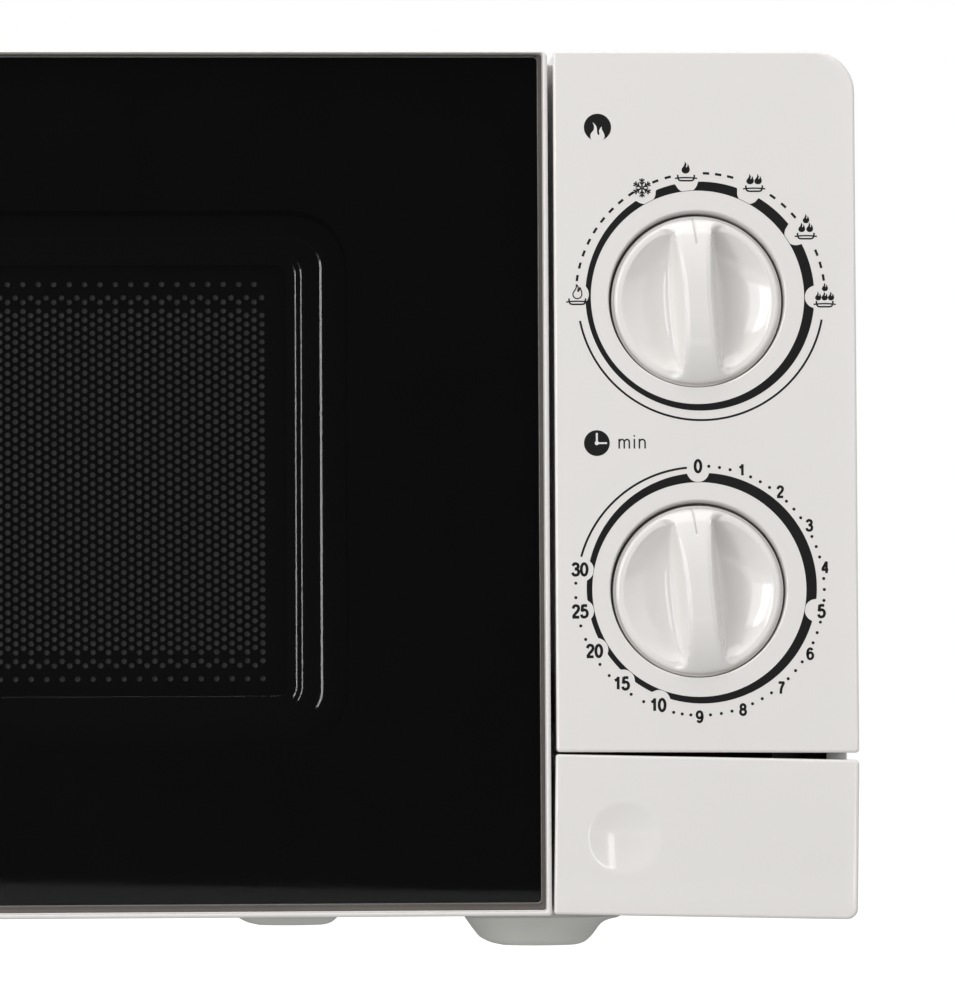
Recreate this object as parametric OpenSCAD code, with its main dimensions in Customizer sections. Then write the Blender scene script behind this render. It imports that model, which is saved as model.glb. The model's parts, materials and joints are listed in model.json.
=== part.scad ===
// Countertop microwave oven with a left-hinged glass door and two rotary controls.
// X runs to the right, Y to the back, Z up. The origin is on the ground at the middle of the
// oven's footprint, knobs and rear spacers included.

/* [Casing] */
// Overall width
body_w = 440; // [438:1:444]
// Overall height, feet included
body_h = 258; // [257:1:260]
// Height of the feet under the casing
foot_h = 10; // [9:0.5:11]
// Distance from the origin forward to the door's face
face_y = 162; // [162:1:166]
// Distance from the origin back to the rear panel's outer face
rear_y = 164; // [163:1:168]
// Thickness of the casing's sheet steel
sheet = 0.8; // [0.6:0.1:0.9]
// Radius of the casing's top corners
corner_r = 12; // [10:1:14]

/* [Door] */
// Right edge of the door, from the oven's middle
door_right = 131.2; // [130.8:0.1:131.4]
// Depth of the door, front to back
door_depth = 31; // [30:0.5:31.5]
// Thickness of the door's front glass
glass_t = 3; // [2.5:0.5:3]
// Thickness of the moulded door frame's walls
frame_t = 1.6; // [1.4:0.1:1.8]

/* [Controls] */
// Left edge of the control panel
panel_left = 132.8; // [132.6:0.1:133]
// Height of the power dial's centre
power_z = 186.15; // [185:0.5:188]
// Height of the timer dial's centre
timer_z = 102.9; // [101:0.5:104]
// Distance of both dials from the oven's middle
dial_x = 174.1; // [173:0.5:175]
// Diameter of a knob's rim
knob_d = 47.7; // [46:0.1:48]
// Diameter of the well around a knob
well_d = 50.2; // [50:0.1:52]
// How far a knob's grip stands out of the panel
grip_h = 6; // [4:0.5:6]
// Travel of the door release button
button_travel = 6; // [4:0.5:6]
// Play that leaves the release button a little out of square, in degrees
button_skew = 0.9; // [0:0.1:1]

/* [Cavity] */
// Inner width of the cooking cavity
cavity_w = 315; // [300:1:315]
// Inner height of the cooking cavity
cavity_h = 198; // [190:1:200]
// Height of the cavity floor over the ground
cavity_z = 34; // [34:0.5:35]
// Diameter of the glass tray
tray_d = 245; // [235:1:255]

/* [Hidden] */
$fn = 48;

half_w = body_w / 2;
front = -face_y;
eps = 0.01;

// Planes from the front backwards
door_back = front + door_depth;
plate_front = front + 34;
plate_t = 1;
cavity_front = plate_front + plate_t;
rear_in = rear_y - sheet;
cavity_t = 1;
cavity_back = rear_y - 9;

// Door and cavity share their middle
door_left = -half_w;
door_mid = (door_left + door_right) / 2;
cavity_left = door_mid - cavity_w / 2;
cavity_right = door_mid + cavity_w / 2;
cavity_top = cavity_z + cavity_h;
cavity_r = 8;

// Window in the door: raised border, then the recess that holds the screen
window_half = 110.4;
window_low = 66;
window_high = 204.5;
recess_side = 6.4;
recess_low = 3;
recess_high = 3.8;
pan_front = front + 13;
pan_t = 0.8;
recess_depth = 5;

// Door ring that covers the microwave choke
choke_half = 160.4;
choke_low = 17;
choke_high = 251;
choke_mouth_half = 127;
choke_mouth_low = 50;
choke_mouth_high = 220;

// Door hinge axis
hinge_x = door_left + 9;
hinge_y = front + 16;
pin_r = 2.5;
pin_play = 0.05;

// Hooks of the door, their lift and the slots that take them
hook_x = 119;
hook_t = 4.5;
hook_zs = [66, 166];
hook_spring_z = 28;

// Release lever
lever_x = 131;
lever_pivot_y = -120;
lever_pivot_z = 57;
lever_arm = 20;

// Turntable
table_x = door_mid;
table_y = (cavity_front + cavity_back) / 2;
roller_r = 8;
roller_track_r = 100.5;
roller_gap = 0.3;
tray_bottom = cavity_z + 2 * roller_r + 2 * roller_gap;

// Feet
foot_top_r = 23;
foot_front_x = 132;
foot_front_y = -103;
foot_rear_y = 120;

// Cooling fan and cavity lamp
fan_x = 166;
fan_z = 168;
lamp_y = -47;
lamp_z = 194;

// Screws of the rear panel, at X and Z
screw_r = 1.75;
back_screws = [
    for (x = [-206, 206], z = [24, 130, 240]) [x, z],
    for (x = [-70, 60]) [x, 250]
];

// Mains inlet
gland_x = 206;
gland_z = 44;
gland_r = 7;

// How far each knob's grip leans from upright, in degrees, clockwise from the front
power_turn = -3.4;
timer_turn = -5;

// Return spring of the release button
spring_x = 180;
spring_z = 32;

// Control panel's lower edge, slightly lower at the right
panel_low_left = 56.7;
panel_low_right = 56.1;

// A box between two corners
module block(low, high) {
    translate(low) cube(high - low);
}

// A round bar along X, Y or Z between two ends
module bar_x(y, z, r, x0, x1) {
    translate([x0, y, z]) rotate([0, 90, 0]) cylinder(r = r, h = x1 - x0);
}
module bar_y(x, z, r, y0, y1) {
    translate([x, y0, z]) rotate([-90, 0, 0]) cylinder(r = r, h = y1 - y0);
}
module bar_z(x, y, r, z0, z1) {
    translate([x, y, z0]) cylinder(r = r, h = z1 - z0);
}

// An outline drawn in X and Z, made solid from y0 back to y1
module slab_y(y0, y1) {
    translate([0, y1, 0]) rotate([90, 0, 0]) linear_extrude(y1 - y0) children();
}

// An outline drawn in Y and Z, made solid from x0 to x1
module slab_x(x0, x1) {
    translate([x0, 0, 0]) rotate([90, 0, 90]) linear_extrude(x1 - x0) children();
}

// A rectangle between two corners, with square or round corners
module rect(low, high) {
    translate(low) square(high - low);
}
module round_rect(low, high, r) {
    rect([low.x + r, low.y], [high.x - r, high.y]);
    rect([low.x, low.y + r], [high.x, high.y - r]);
    for (x = [low.x + r, high.x - r], z = [low.y + r, high.y - r])
        translate([x, z]) circle(r = r);
}

// The casing seen from the front: square at the base, round at the two top corners
module casing_outline(inset, low) {
    r = corner_r - inset;
    rect([-half_w + inset, low], [half_w - inset, body_h - corner_r]);
    rect([-half_w + corner_r, body_h - corner_r - eps], [half_w - corner_r, body_h - inset]);
    for (side = [-1, 1])
        translate([side * (half_w - corner_r), body_h - corner_r]) circle(r = r);
}

// Rows of slots, centred on x and z
module slots(x, z, columns, rows, pitch_x, pitch_z, w, h) {
    for (i = [0 : columns - 1], j = [0 : rows - 1])
        translate([x + (i - (columns - 1) / 2) * pitch_x - w / 2, z + (j - (rows - 1) / 2) * pitch_z - h / 2])
            square([w, h]);
}

// ---- Casing ----

module outer_wrap() {
    vent_y = 96;
    vent_z = 170;
    color("white") difference() {
        slab_y(plate_front, rear_in) difference() {
            casing_outline(0, foot_h);
            casing_outline(sheet, foot_h - 1);
        }
        slab_x(-half_w - 1, half_w + 1) slots(vent_y, vent_z, 14, 2, 7, 30, 3, 22);
    }
}

module base_plate() {
    inner = half_w - sheet;
    flange_h = 12;
    color("silver") difference() {
        block([-inner, cavity_front, foot_h], [inner, rear_in, foot_h + flange_h]);
        block([-inner + sheet, cavity_front - 1, foot_h + sheet], [inner - sheet, rear_in + 1, foot_h + flange_h + 1]);
        // Air inlets under the electrical compartment
        for (i = [0 : 9])
            translate([150 + i * 6, 64, foot_h - 1]) cube([3, 40, 3]);
        // Room for the turntable motor's screws
        for (side = [-1, 1])
            bar_z(table_x + side * 30, table_y, 2, foot_h - 1, foot_h + 3);
    }
}

module back_plate() {
    color("silver") slab_y(rear_in, rear_y) difference() {
        casing_outline(0, foot_h);
        slots(fan_x, fan_z, 10, 3, 8, 26, 4, 20);
        slots(door_mid, 190, 16, 2, 9, 24, 4, 18);
        translate([gland_x, gland_z]) circle(r = gland_r);
        for (place = back_screws)
            translate(place) circle(r = screw_r + pin_play);
    }
}

module front_plate() {
    slot_w = hook_t + 2.4;
    color("gainsboro") slab_y(plate_front, cavity_front) difference() {
        casing_outline(sheet, foot_h);
        round_rect([cavity_left, cavity_z], [cavity_right, cavity_top], cavity_r);
        // Slots for the door's hooks
        for (z = hook_zs)
            rect([hook_x - 1.2, z - 0.5], [hook_x + slot_w - 1.2, z + 12]);
        // Opening behind the control panel and the release button
        rect([137, 14], [214, 215]);
        rect([130, 30], [137 + eps, 80]);
    }
}

// Five flat sheets welded into a box, with a hair's breadth at each weld
module cavity_box() {
    weld = 0.05;
    out_left = cavity_left - cavity_t;
    out_right = cavity_right + cavity_t;
    color("gainsboro") difference() {
        union() {
            for (z = [cavity_z - cavity_t, cavity_top])
                block([out_left, cavity_front, z], [out_right, cavity_back - weld, z + cavity_t]);
            for (x = [out_left, cavity_right])
                block([x, cavity_front, cavity_z + weld], [x + cavity_t, cavity_back - weld, cavity_top - weld]);
            block([out_left, cavity_back, cavity_z - cavity_t],
                [out_right, cavity_back + cavity_t, cavity_top + cavity_t]);
        }
        // Hole for the turntable's shaft
        bar_z(table_x, table_y, 6, cavity_z - 2, cavity_z + 1);
        // Microwave inlet behind the mica cover
        block([cavity_right - 1, -5, 118], [cavity_right + 2, 55, 168]);
        // Lamp holes and the air inlet in the right wall
        slab_x(cavity_right - 1, cavity_right + 2)
            for (i = [0 : 5], j = [0 : 4])
                translate([lamp_y - 15 + i * 6, lamp_z - 12 + j * 6]) circle(r = 1.8);
        // Steam outlet in the left wall
        slab_x(cavity_left - 2, cavity_left + 1)
            for (i = [0 : 7], j = [0 : 3])
                translate([90 + i * 6, 190 + j * 6]) circle(r = 1.8);
    }
}

module waveguide_cover() {
    color("tan") difference() {
        block([cavity_right - 0.5, -18, 108], [cavity_right, 68, 178]);
        for (z = [112, 174])
            bar_x(64, z, 1.6, cavity_right - 1, cavity_right + 1);
    }
}

// A moulded foot: a flared dish with a rounded tread
module foot(x, y) {
    tread_r = 13;
    edge_r = 4;
    lip_h = 1.2;
    color("darkgray") translate([x, y, 0]) rotate_extrude() polygon([
        [0, 0], [tread_r, 0], [tread_r + edge_r * 0.7, edge_r * 0.4], [foot_top_r - 3, foot_h - lip_h - 1],
        [foot_top_r, foot_h - lip_h], [foot_top_r, foot_h], [0, foot_h]
    ]);
}
module foot_front_left() { foot(-foot_front_x - 44, foot_front_y); }
module foot_front_right() { foot(foot_front_x, foot_front_y); }
module foot_rear_left() { foot(-120, foot_rear_y); }
module foot_rear_right() { foot(62, foot_rear_y); }

module rear_spacers() {
    color("dimgray") for (x = [-190, 190], z = [60, 225])
        bar_y(x, z, 6, rear_y, rear_y + 4);
}

// A pan-head screw through the rear panel, its head towards the back
module screw_back(x, z) {
    head_r = 3.5;
    head_h = 2;
    bar_y(x, z, head_r, rear_y, rear_y + head_h);
    bar_y(x, z, screw_r, rear_in, rear_y);
}

module casing_screws() {
    color("silver") {
        for (place = back_screws) screw_back(place.x, place.y);
        for (x = [-205, 204], y = [-90, 148]) bar_z(x, y, 3, foot_h - 1.8, foot_h);
    }
}

module cord_gland() {
    color("dimgray") difference() {
        union() {
            bar_y(gland_x, gland_z, gland_r - pin_play, rear_in - 6, rear_y);
            bar_y(gland_x, gland_z, gland_r + 2.5, rear_y, rear_y + 2.5);
            bar_y(gland_x, gland_z, gland_r + 1.5, rear_in - 8, rear_in);
        }
        bar_y(gland_x, gland_z, 3.6, rear_in - 9, rear_y + 4);
    }
}

// ---- Electrical parts ----

module filter_board() {
    board_y = rear_in - 11;
    color("darkgreen") {
        block([124, board_y, 16], [190, board_y + 1.6, 76]);
        for (x = [128, 186], z = [20, 72])
            bar_y(x, z, 2.5, board_y + 1.6, rear_in);
        // Choke coil, two capacitors and a terminal block
        translate([142, board_y, 56]) rotate([90, 0, 0]) rotate_extrude() translate([9, 4.2]) circle(r = 4.5);
        block([160, board_y - 14, 44], [180, board_y, 66]);
        block([130, board_y - 12, 22], [146, board_y, 36]);
        block([170, board_y - 10, 20], [186, board_y, 34]);
    }
}

module line_fuse() {
    fuse_y = rear_in - 16;
    color("lightgray") {
        bar_x(fuse_y, 27, 3.2, 149, 155);
        bar_x(fuse_y, 27, 2.6, 155, 161);
        bar_x(fuse_y, 27, 3.2, 161, 167);
        for (x = [150, 163]) block([x, fuse_y, 25], [x + 3, rear_in - 11, 29]);
    }
}

module waveguide() {
    left = cavity_right + cavity_t;
    right = 147;
    wall = 1;
    color("silver") difference() {
        block([left, -22, 114], [right, 72, 205]);
        block([left - 1, -22 + wall, 114 + wall], [right - wall, 72 - wall, 205 - wall]);
        bar_x(25, 172, 11, right - 2, right + 1);
    }
}

module magnetron() {
    axis_y = 25;
    axis_z = 172;
    color("silver") {
        // Steel yoke around the anode
        block([147, -20, 134], [149, 70, 210]);
        block([185, -20, 134], [187, 70, 210]);
        block([149, -20, 134], [185, -18, 210]);
        block([149, 68, 134], [185, 70, 210]);
        // Cooling fins
        for (i = [0 : 7])
            block([153 + i * 4, -18, 142], [153.8 + i * 4, 68, 202]);
        bar_x(axis_y, axis_z, 18, 149, 185);
        // Filter box and its connector
        block([187, -8, 146], [208, 58, 198]);
        block([192, -16, 160], [204, -8, 184]);
        // Antenna with its cap
        bar_x(axis_y, axis_z, 9, 138, 147);
        bar_x(axis_y, axis_z, 7, 126, 138);
    }
}

module transformer_core() {
    color("dimgray") difference() {
        block([126, -46, foot_h + sheet], [206, 20, 84]);
        for (x = [141, 177])
            block([x, -47, 36], [x + 14, 21, 70]);
    }
}

module transformer_windings() {
    color("chocolate") difference() {
        block([141.2, -60, 36.2], [190.8, 34, 69.8]);
        block([155, -46, 36], [177, 20, 70]);
    }
}

module hv_capacitor() {
    cap_x = [166, 186];
    cap_z = 30;
    color("lightgray") {
        slab_y(44, 124) union() {
            for (x = cap_x) translate([x, cap_z]) circle(r = 16);
            rect([cap_x[0], cap_z - 16], [cap_x[1], cap_z + 16]);
        }
        for (x = cap_x) bar_y(x, cap_z, 4, 36, 44);
    }
}

module capacitor_clamp() {
    strap = 0.8;
    color("silver") difference() {
        union() {
            slab_y(76, 90) {
                for (x = [166, 186]) translate([x, 30]) circle(r = 16 + strap);
                rect([166, 30 - 16 - strap], [186, 30 + 16 + strap]);
            }
            block([136, 76, foot_h + sheet], [152, 90, foot_h + 2 * sheet]);
            block([149.2, 76, foot_h + sheet], [150, 90, 30]);
            block([160, 76, foot_h + sheet], [192, 90, 14]);
        }
        slab_y(75, 91) {
            for (x = [166, 186]) translate([x, 30]) circle(r = 16 + pin_play);
            rect([166, 14 - pin_play], [186, 46 + pin_play]);
        }
    }
}

module hv_diode() {
    color("black") {
        bar_x(31, 30, 3.5, 134, 156);
        block([128, 29, foot_h + sheet], [134, 33, 33]);
        block([156, 30, 29], [164, 32, 31]);
    }
}

module thermal_cutout() {
    base = cavity_right + cavity_t;
    color("black") {
        bar_x(-50, 140, 9, base, base + 3);
        bar_x(-50, 140, 8, base + 3, base + 10);
        for (y = [-55, -47]) block([base + 10, y, 137], [base + 18, y + 0.8, 143]);
    }
}

module lamp_holder() {
    base = cavity_right + cavity_t;
    color("silver") {
        difference() {
            block([base, lamp_y - 24, lamp_z - 18], [base + 24, lamp_y + 24, lamp_z + 18]);
            block([base - 1, lamp_y - 22, lamp_z - 16], [base + 22, lamp_y + 22, lamp_z + 16]);
        }
        bar_x(lamp_y, lamp_z, 8, base + 24, base + 34);
    }
}

module oven_lamp() {
    base = cavity_right + cavity_t;
    bulb_r = 8;
    neck_r = 4;
    color("lightyellow") translate([base + 10, lamp_y, lamp_z]) rotate([0, 90, 0]) rotate_extrude()
        intersection() {
            union() {
                circle(r = bulb_r);
                square([neck_r, 12]);
            }
            translate([0, -bulb_r]) square([bulb_r, 12 + bulb_r]);
        }
}

module fan_shroud() {
    color("dimgray") difference() {
        union() {
            block([cavity_right + cavity_t, 92, fan_z - 50], [fan_x + 49, 94, fan_z + 50]);
            bar_y(fan_x, fan_z, 48.5, 94, 112);
            // Posts that carry the motor
            for (x = [-44, 44], z = [-44, 44])
                bar_y(fan_x + x, fan_z + z, 4, 94, 124);
        }
        bar_y(fan_x, fan_z, 46, 91, 113);
    }
}

module fan_motor() {
    color("silver") {
        difference() {
            union() {
                block([fan_x - 48, 124, fan_z - 9], [fan_x + 48, 125.5, fan_z + 9]);
                for (side = [-1, 1])
                    block([fan_x + side * 44 - 4, 124, fan_z - 48], [fan_x + side * 44 + 4, 125.5, fan_z + 48]);
                block([fan_x - 26, 125.5, fan_z - 32], [fan_x + 26, 141, fan_z + 24]);
            }
            bar_y(fan_x, fan_z, 1.5 + pin_play, 123, 150);
        }
    }
}

module fan_blade() {
    blades = 5;
    color("ivory") {
        bar_y(fan_x, fan_z, 12, 98, 114);
        bar_y(fan_x, fan_z, 1.5, 114, 143);
        for (i = [0 : blades - 1])
            translate([fan_x, 106, fan_z]) rotate([0, i * 360 / blades, 0])
                translate([10, 0, 0]) rotate([32, 0, 0]) translate([0, -0.8, -11]) cube([31, 1.6, 22]);
    }
}

module turntable_motor() {
    color("silver") {
        difference() {
            union() {
                bar_z(table_x, table_y, 25, foot_h + sheet + 2, cavity_z - cavity_t - 1);
                block([table_x - 34, table_y - 8, cavity_z - cavity_t - 2],
                    [table_x + 34, table_y + 8, cavity_z - cavity_t]);
            }
            bar_z(table_x, table_y, 3.5 + pin_play, cavity_z - 16, cavity_z + 1);
        }
    }
}

// ---- Turntable ----

module turntable_coupler() {
    arm_r = 17;
    color("ivory") translate([table_x, table_y, 0]) {
        translate([0, 0, cavity_z - 15]) cylinder(r = 3.5, h = 16);
        translate([0, 0, cavity_z + 1]) cylinder(r = 9, h = tray_bottom - cavity_z - 1);
        for (i = [0 : 2])
            rotate([0, 0, 90 + i * 120])
                translate([0, -4, tray_bottom - 5]) cube([arm_r, 8, 5]);
    }
}

module glass_tray() {
    r = tray_d / 2;
    t = 5;
    rim_h = 13;
    lug_w = 5;
    lug_h = 2.4;
    color([0.8, 0.9, 0.9]) translate([table_x, table_y, 0]) {
        rotate_extrude() polygon([
            [0, tray_bottom], [r - 16, tray_bottom], [r - 2.5, tray_bottom + rim_h - 3], [r, tray_bottom + rim_h - 2],
            [r, tray_bottom + rim_h], [r - 3, tray_bottom + rim_h], [r - 18, tray_bottom + t], [0, tray_bottom + t]
        ]);
        // Lugs that the coupler's arms push round
        for (i = [0 : 2])
            rotate([0, 0, 90 + 60 + i * 120])
                translate([12, -lug_w / 2, tray_bottom - lug_h]) cube([8, lug_w, lug_h + eps]);
    }
}

module roller_ring() {
    ring_z = cavity_z + roller_gap + roller_r;
    color("dimgray") translate([table_x, table_y, 0]) {
        difference() {
            translate([0, 0, ring_z - 3]) cylinder(r = 93, h = 6);
            translate([0, 0, ring_z - 4]) cylinder(r = 85, h = 8);
        }
        // Stub axles
        for (i = [0 : 2])
            rotate([0, 0, i * 120]) translate([92, 0, ring_z]) rotate([0, 90, 0]) cylinder(r = 2, h = 13);
    }
}

module roller(i) {
    ring_z = cavity_z + roller_gap + roller_r;
    color("white") translate([table_x, table_y, ring_z]) rotate([0, 0, i * 120])
        translate([roller_track_r - 3.5, 0, 0]) rotate([0, 90, 0]) difference() {
            cylinder(r = roller_r, h = 7);
            translate([0, 0, -1]) cylinder(r = 2 + pin_play, h = 9);
        }
}
module roller_1() { roller(0); }
module roller_2() { roller(1); }
module roller_3() { roller(2); }

// ---- Controls ----

// The panel's face: round at the top right, its lower edge a little out of level
module panel_face(inset) {
    difference() {
        union() {
            rect([panel_left + inset, 50], [half_w - inset, body_h - corner_r]);
            rect([panel_left + inset, body_h - corner_r - eps], [half_w - corner_r, body_h - inset]);
            translate([half_w - corner_r, body_h - corner_r]) circle(r = corner_r - inset);
        }
        polygon([
            [panel_left - 1, 40], [half_w + 1, 40],
            [half_w + 1, panel_low_right + inset], [panel_left - 1, panel_low_left + inset]
        ]);
    }
}

module control_panel() {
    wall = 2.2;
    well_depth = 10;
    guide_low = [135.6, 13.4];
    guide_high = [216.6, 51.8];
    flange_y = plate_front - 3;
    color("white") difference() {
        union() {
            // Shell behind the face
            difference() {
                slab_y(front, plate_front) panel_face(0);
                slab_y(front + wall, plate_front + 1) panel_face(wall);
            }
            // Cups around the knobs
            for (z = [power_z, timer_z])
                bar_y(dial_x, z, well_d / 2 + wall, front + wall - eps, front + well_depth + wall);
            // Flange and guide that the release button slides on
            slab_y(flange_y, plate_front) rect([panel_left, foot_h], [half_w, panel_low_right + wall]);
            slab_y(front + 12, plate_front) round_rect(guide_low, guide_high, 2);
        }
        for (z = [power_z, timer_z]) {
            bar_y(dial_x, z, well_d / 2, front - 1, front + well_depth);
            bar_y(dial_x, z, 5, front, front + 20);
        }
        // Hollow of the guide, with a crossbar left for the button's spring
        slab_y(front + 11, flange_y)
            round_rect(guide_low + [wall, wall], guide_high - [wall, wall], 1);
        slab_y(flange_y - eps, plate_front + 1) {
            rect(guide_low + [wall, wall], [spring_x - 9, guide_high.y - wall]);
            rect([spring_x + 9, guide_low.y + wall], guide_high - [wall, wall]);
        }
    }
}

module panel_screws() {
    color("silver") for (x = [142, 208], z = [66, 225, 245])
        bar_y(x, z, 3, plate_front + plate_t, plate_front + plate_t + 2);
}

module timer_unit() {
    shaft_play = 3 + pin_play;
    color("ivory") difference() {
        union() {
            block([147, front + 12.2, 84], [201, -112, 205]);
            for (z = [power_z, timer_z]) bar_y(dial_x, z, 4.9, front + 9.4, front + 12.2 + eps);
            block([152, -112, 120], [196, -104, 168]);
        }
        for (z = [power_z, timer_z]) bar_y(dial_x, z, shaft_play, front + 8, -130);
    }
}

module timer_bell() {
    color("goldenrod") translate([174, -104, 100]) rotate([-90, 0, 0]) {
        difference() {
            cylinder(r = 17, h = 8);
            translate([0, 0, -1]) cylinder(r = 15.8, h = 8);
        }
        translate([0, 0, -8]) cylinder(r = 3, h = 15);
    }
}

module dial_shaft(z) {
    color("silver") bar_y(dial_x, z, 3, front + 3, -131);
}
module power_shaft() { dial_shaft(power_z); }
module timer_shaft() { dial_shaft(timer_z); }

// A knob: round skirt, a waisted grip across it and a scoop on either side
module knob(z, turn) {
    skirt_back = front + 9;
    grip_r = 20.5;
    waist_r = 58;
    grip_half = 4.6;
    scoop_r = 42;
    scoop_depth = 4.5;
    color("white") translate([dial_x, 0, z]) rotate([0, turn, 0]) difference() {
        union() {
            difference() {
                bar_y(0, 0, knob_d / 2, front, skirt_back);
                // Dished front
                for (side = [-1, 1])
                    intersection() {
                        translate([side * 13, front - scoop_r + scoop_depth, -30]) cylinder(r = scoop_r, h = 60);
                        bar_y(0, 0, grip_r, front - 1, front + 8);
                    }
            }
            slab_y(front - grip_h, front + 5) intersection() {
                circle(r = grip_r + 1.5);
                difference() {
                    square([16, 50], center = true);
                    for (side = [-1, 1])
                        translate([side * (waist_r + grip_half), 0]) circle(r = waist_r);
                }
            }
        }
        bar_y(0, 0, 3 + pin_play, front + 3, skirt_back + 1);
        // Hollow back
        difference() {
            bar_y(0, 0, knob_d / 2 - 2, front + 6.5, skirt_back + 1);
            bar_y(0, 0, 5.5, front + 6, skirt_back + 2);
        }
    }
}
module power_knob() { knob(power_z, power_turn); }
module timer_knob() { knob(timer_z, timer_turn); }

// ---- Door release ----

module latch_board() {
    board_x = 126.5;
    board_t = 2.5;
    color("ivory") difference() {
        union() {
            block([board_x, cavity_front, 50], [board_x + board_t, -78, 206]);
            // Foot that screws to the front plate
            block([board_x - 11, cavity_front, 196], [board_x + board_t, cavity_front + 2, 206]);
            block([board_x - 11, cavity_front, 88], [board_x + board_t, cavity_front + 2, 100]);
            // Pivot of the release lever
            bar_x(lever_pivot_y, lever_pivot_z, 3, board_x + board_t - eps, 137);
            // Shelves under the door switches
            for (z = hook_zs) block([115.5, -102, z - 16], [board_x, -84, z - 13.5]);
            block([115.5, -102, 100], [board_x, -84, 102.5]);
        }
        // Window that the lever's finger reaches through
        block([board_x - 1, -117, 49], [board_x + board_t + 1, -102, 74]);
        bar_x(-86, 120, 4, board_x - 1, board_x + board_t + 1);
    }
}

// A sealed door switch with its plunger and two terminals
module door_switch(z) {
    color("black") {
        block([116, -101, z], [126, -85, z + 28]);
        block([119, -103.2, z + 15], [123, -101, z + 18]);
        for (dz = [6, 20]) block([120, -85, z + dz], [121, -78, z + dz + 5]);
    }
}
module lower_door_switch() { door_switch(hook_zs[0] - 13.5); }
module middle_door_switch() { door_switch(102.5); }
module upper_door_switch() { door_switch(hook_zs[1] - 13.5); }

// Bell crank: the lower arm meets the button's rod, the upper one lifts the lower hook
module release_lever() {
    color("white") difference() {
        union() {
            bar_x(lever_pivot_y, lever_pivot_z, 6, lever_x, lever_x + 4);
            block([lever_x, lever_pivot_y - 3, lever_pivot_z - lever_arm - 3], [lever_x + 4, lever_pivot_y + 3, lever_pivot_z]);
            block([lever_x, lever_pivot_y, lever_pivot_z - 3], [lever_x + 4, -107, lever_pivot_z + 3]);
            block([hook_x, -113, lever_pivot_z + 3 - eps], [lever_x + 4, -107, hook_zs[0] - 0.6]);
        }
        bar_x(lever_pivot_y, lever_pivot_z, 3 + pin_play, lever_x - 1, lever_x + 5);
    }
}

module release_button() {
    wall = 2;
    low = [132.1, 9.7];
    high = [half_w - 0.36, 55];
    middle = (low + high) / 2;
    depth = door_depth - button_travel - 0.4;
    dimple_r = 10.3;
    dimple_depth = 0.9;
    dimple_x = 152.5;
    dimple_z = 32.1;
    sphere_r = (dimple_r * dimple_r + dimple_depth * dimple_depth) / (2 * dimple_depth);
    color("white") difference() {
        union() {
            translate([middle.x, 0, middle.y]) rotate([0, button_skew, 0]) translate([-middle.x, 0, -middle.y])
                difference() {
                    slab_y(front, front + depth) round_rect(low, high, 2.5);
                    slab_y(front + wall, front + depth + 1) round_rect(low + [wall, wall], high - [wall, wall], 1);
                }
            // Rod that meets the release lever
            block([lever_x + 8, front + wall - eps, 33], [lever_x + 12, lever_pivot_y - 3.4, 37]);
            block([lever_x, lever_pivot_y - 7.6, 33], [lever_x + 12, lever_pivot_y - 3.4, 37]);
            // Post that carries the spring
            bar_y(spring_x, spring_z, 3, front + wall - eps, front + 16);
        }
        translate([dimple_x, front - sphere_r + dimple_depth, dimple_z]) sphere(r = sphere_r, $fn = 96);
    }
}

// A coil spring standing on Z = 0: a round wire swept along a helix, its ends in the coil's own planes
module coil(radius, wire_r, height, turns) {
    steps = 12;
    sides = 6;
    rings = turns * steps;
    rise = (height - 2 * wire_r) / rings;
    points = [for (i = [0 : rings], k = [0 : sides - 1])
        let (a = i * 360 / steps, b = k * 360 / sides, r = radius + wire_r * cos(b))
        [r * cos(a), r * sin(a), wire_r + i * rise + wire_r * sin(b)]];
    near = [for (i = [0 : rings - 1], k = [0 : sides - 1])
        let (p = i * sides + k, q = i * sides + (k + 1) % sides) [p, q, q + sides]];
    far = [for (i = [0 : rings - 1], k = [0 : sides - 1])
        let (p = i * sides + k, q = i * sides + (k + 1) % sides) [p, q + sides, p + sides]];
    first = [[for (k = [sides - 1 : -1 : 0]) k]];
    last = [[for (k = [0 : sides - 1]) rings * sides + k]];
    polyhedron(points, concat(near, far, first, last));
}

module button_spring() {
    color("silver") translate([spring_x, plate_front - 3, spring_z]) rotate([90, 0, 0])
        coil(5, 0.6, -3 - front + plate_front - 2, 8);
}

// ---- Door ----

// A hinge bracket on the front plate, its pin pointing into the door
module hinge(z_leg, pin_low, pin_high) {
    leg_t = 1.5;
    color("silver") {
        block([hinge_x - 4, hinge_y - 4, z_leg], [hinge_x + 4, plate_front - leg_t, z_leg + leg_t]);
        block([hinge_x - 4, plate_front - leg_t, z_leg - 6], [hinge_x + 14, plate_front, z_leg + 6]);
        bar_z(hinge_x, hinge_y, pin_r, pin_low, pin_high);
    }
}
upper_leg_z = 247;
lower_leg_z = 19;
module upper_hinge() { hinge(upper_leg_z, upper_leg_z - 12, upper_leg_z + 1); }
module lower_hinge() { hinge(lower_leg_z, lower_leg_z + 0.5, lower_leg_z + 13.5); }

// The door's outline seen from the front
module door_outline(inset) {
    round_rect([door_left + inset, foot_h + inset], [door_right - inset, body_h - inset], max(0.3, 2 - inset));
}

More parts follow.
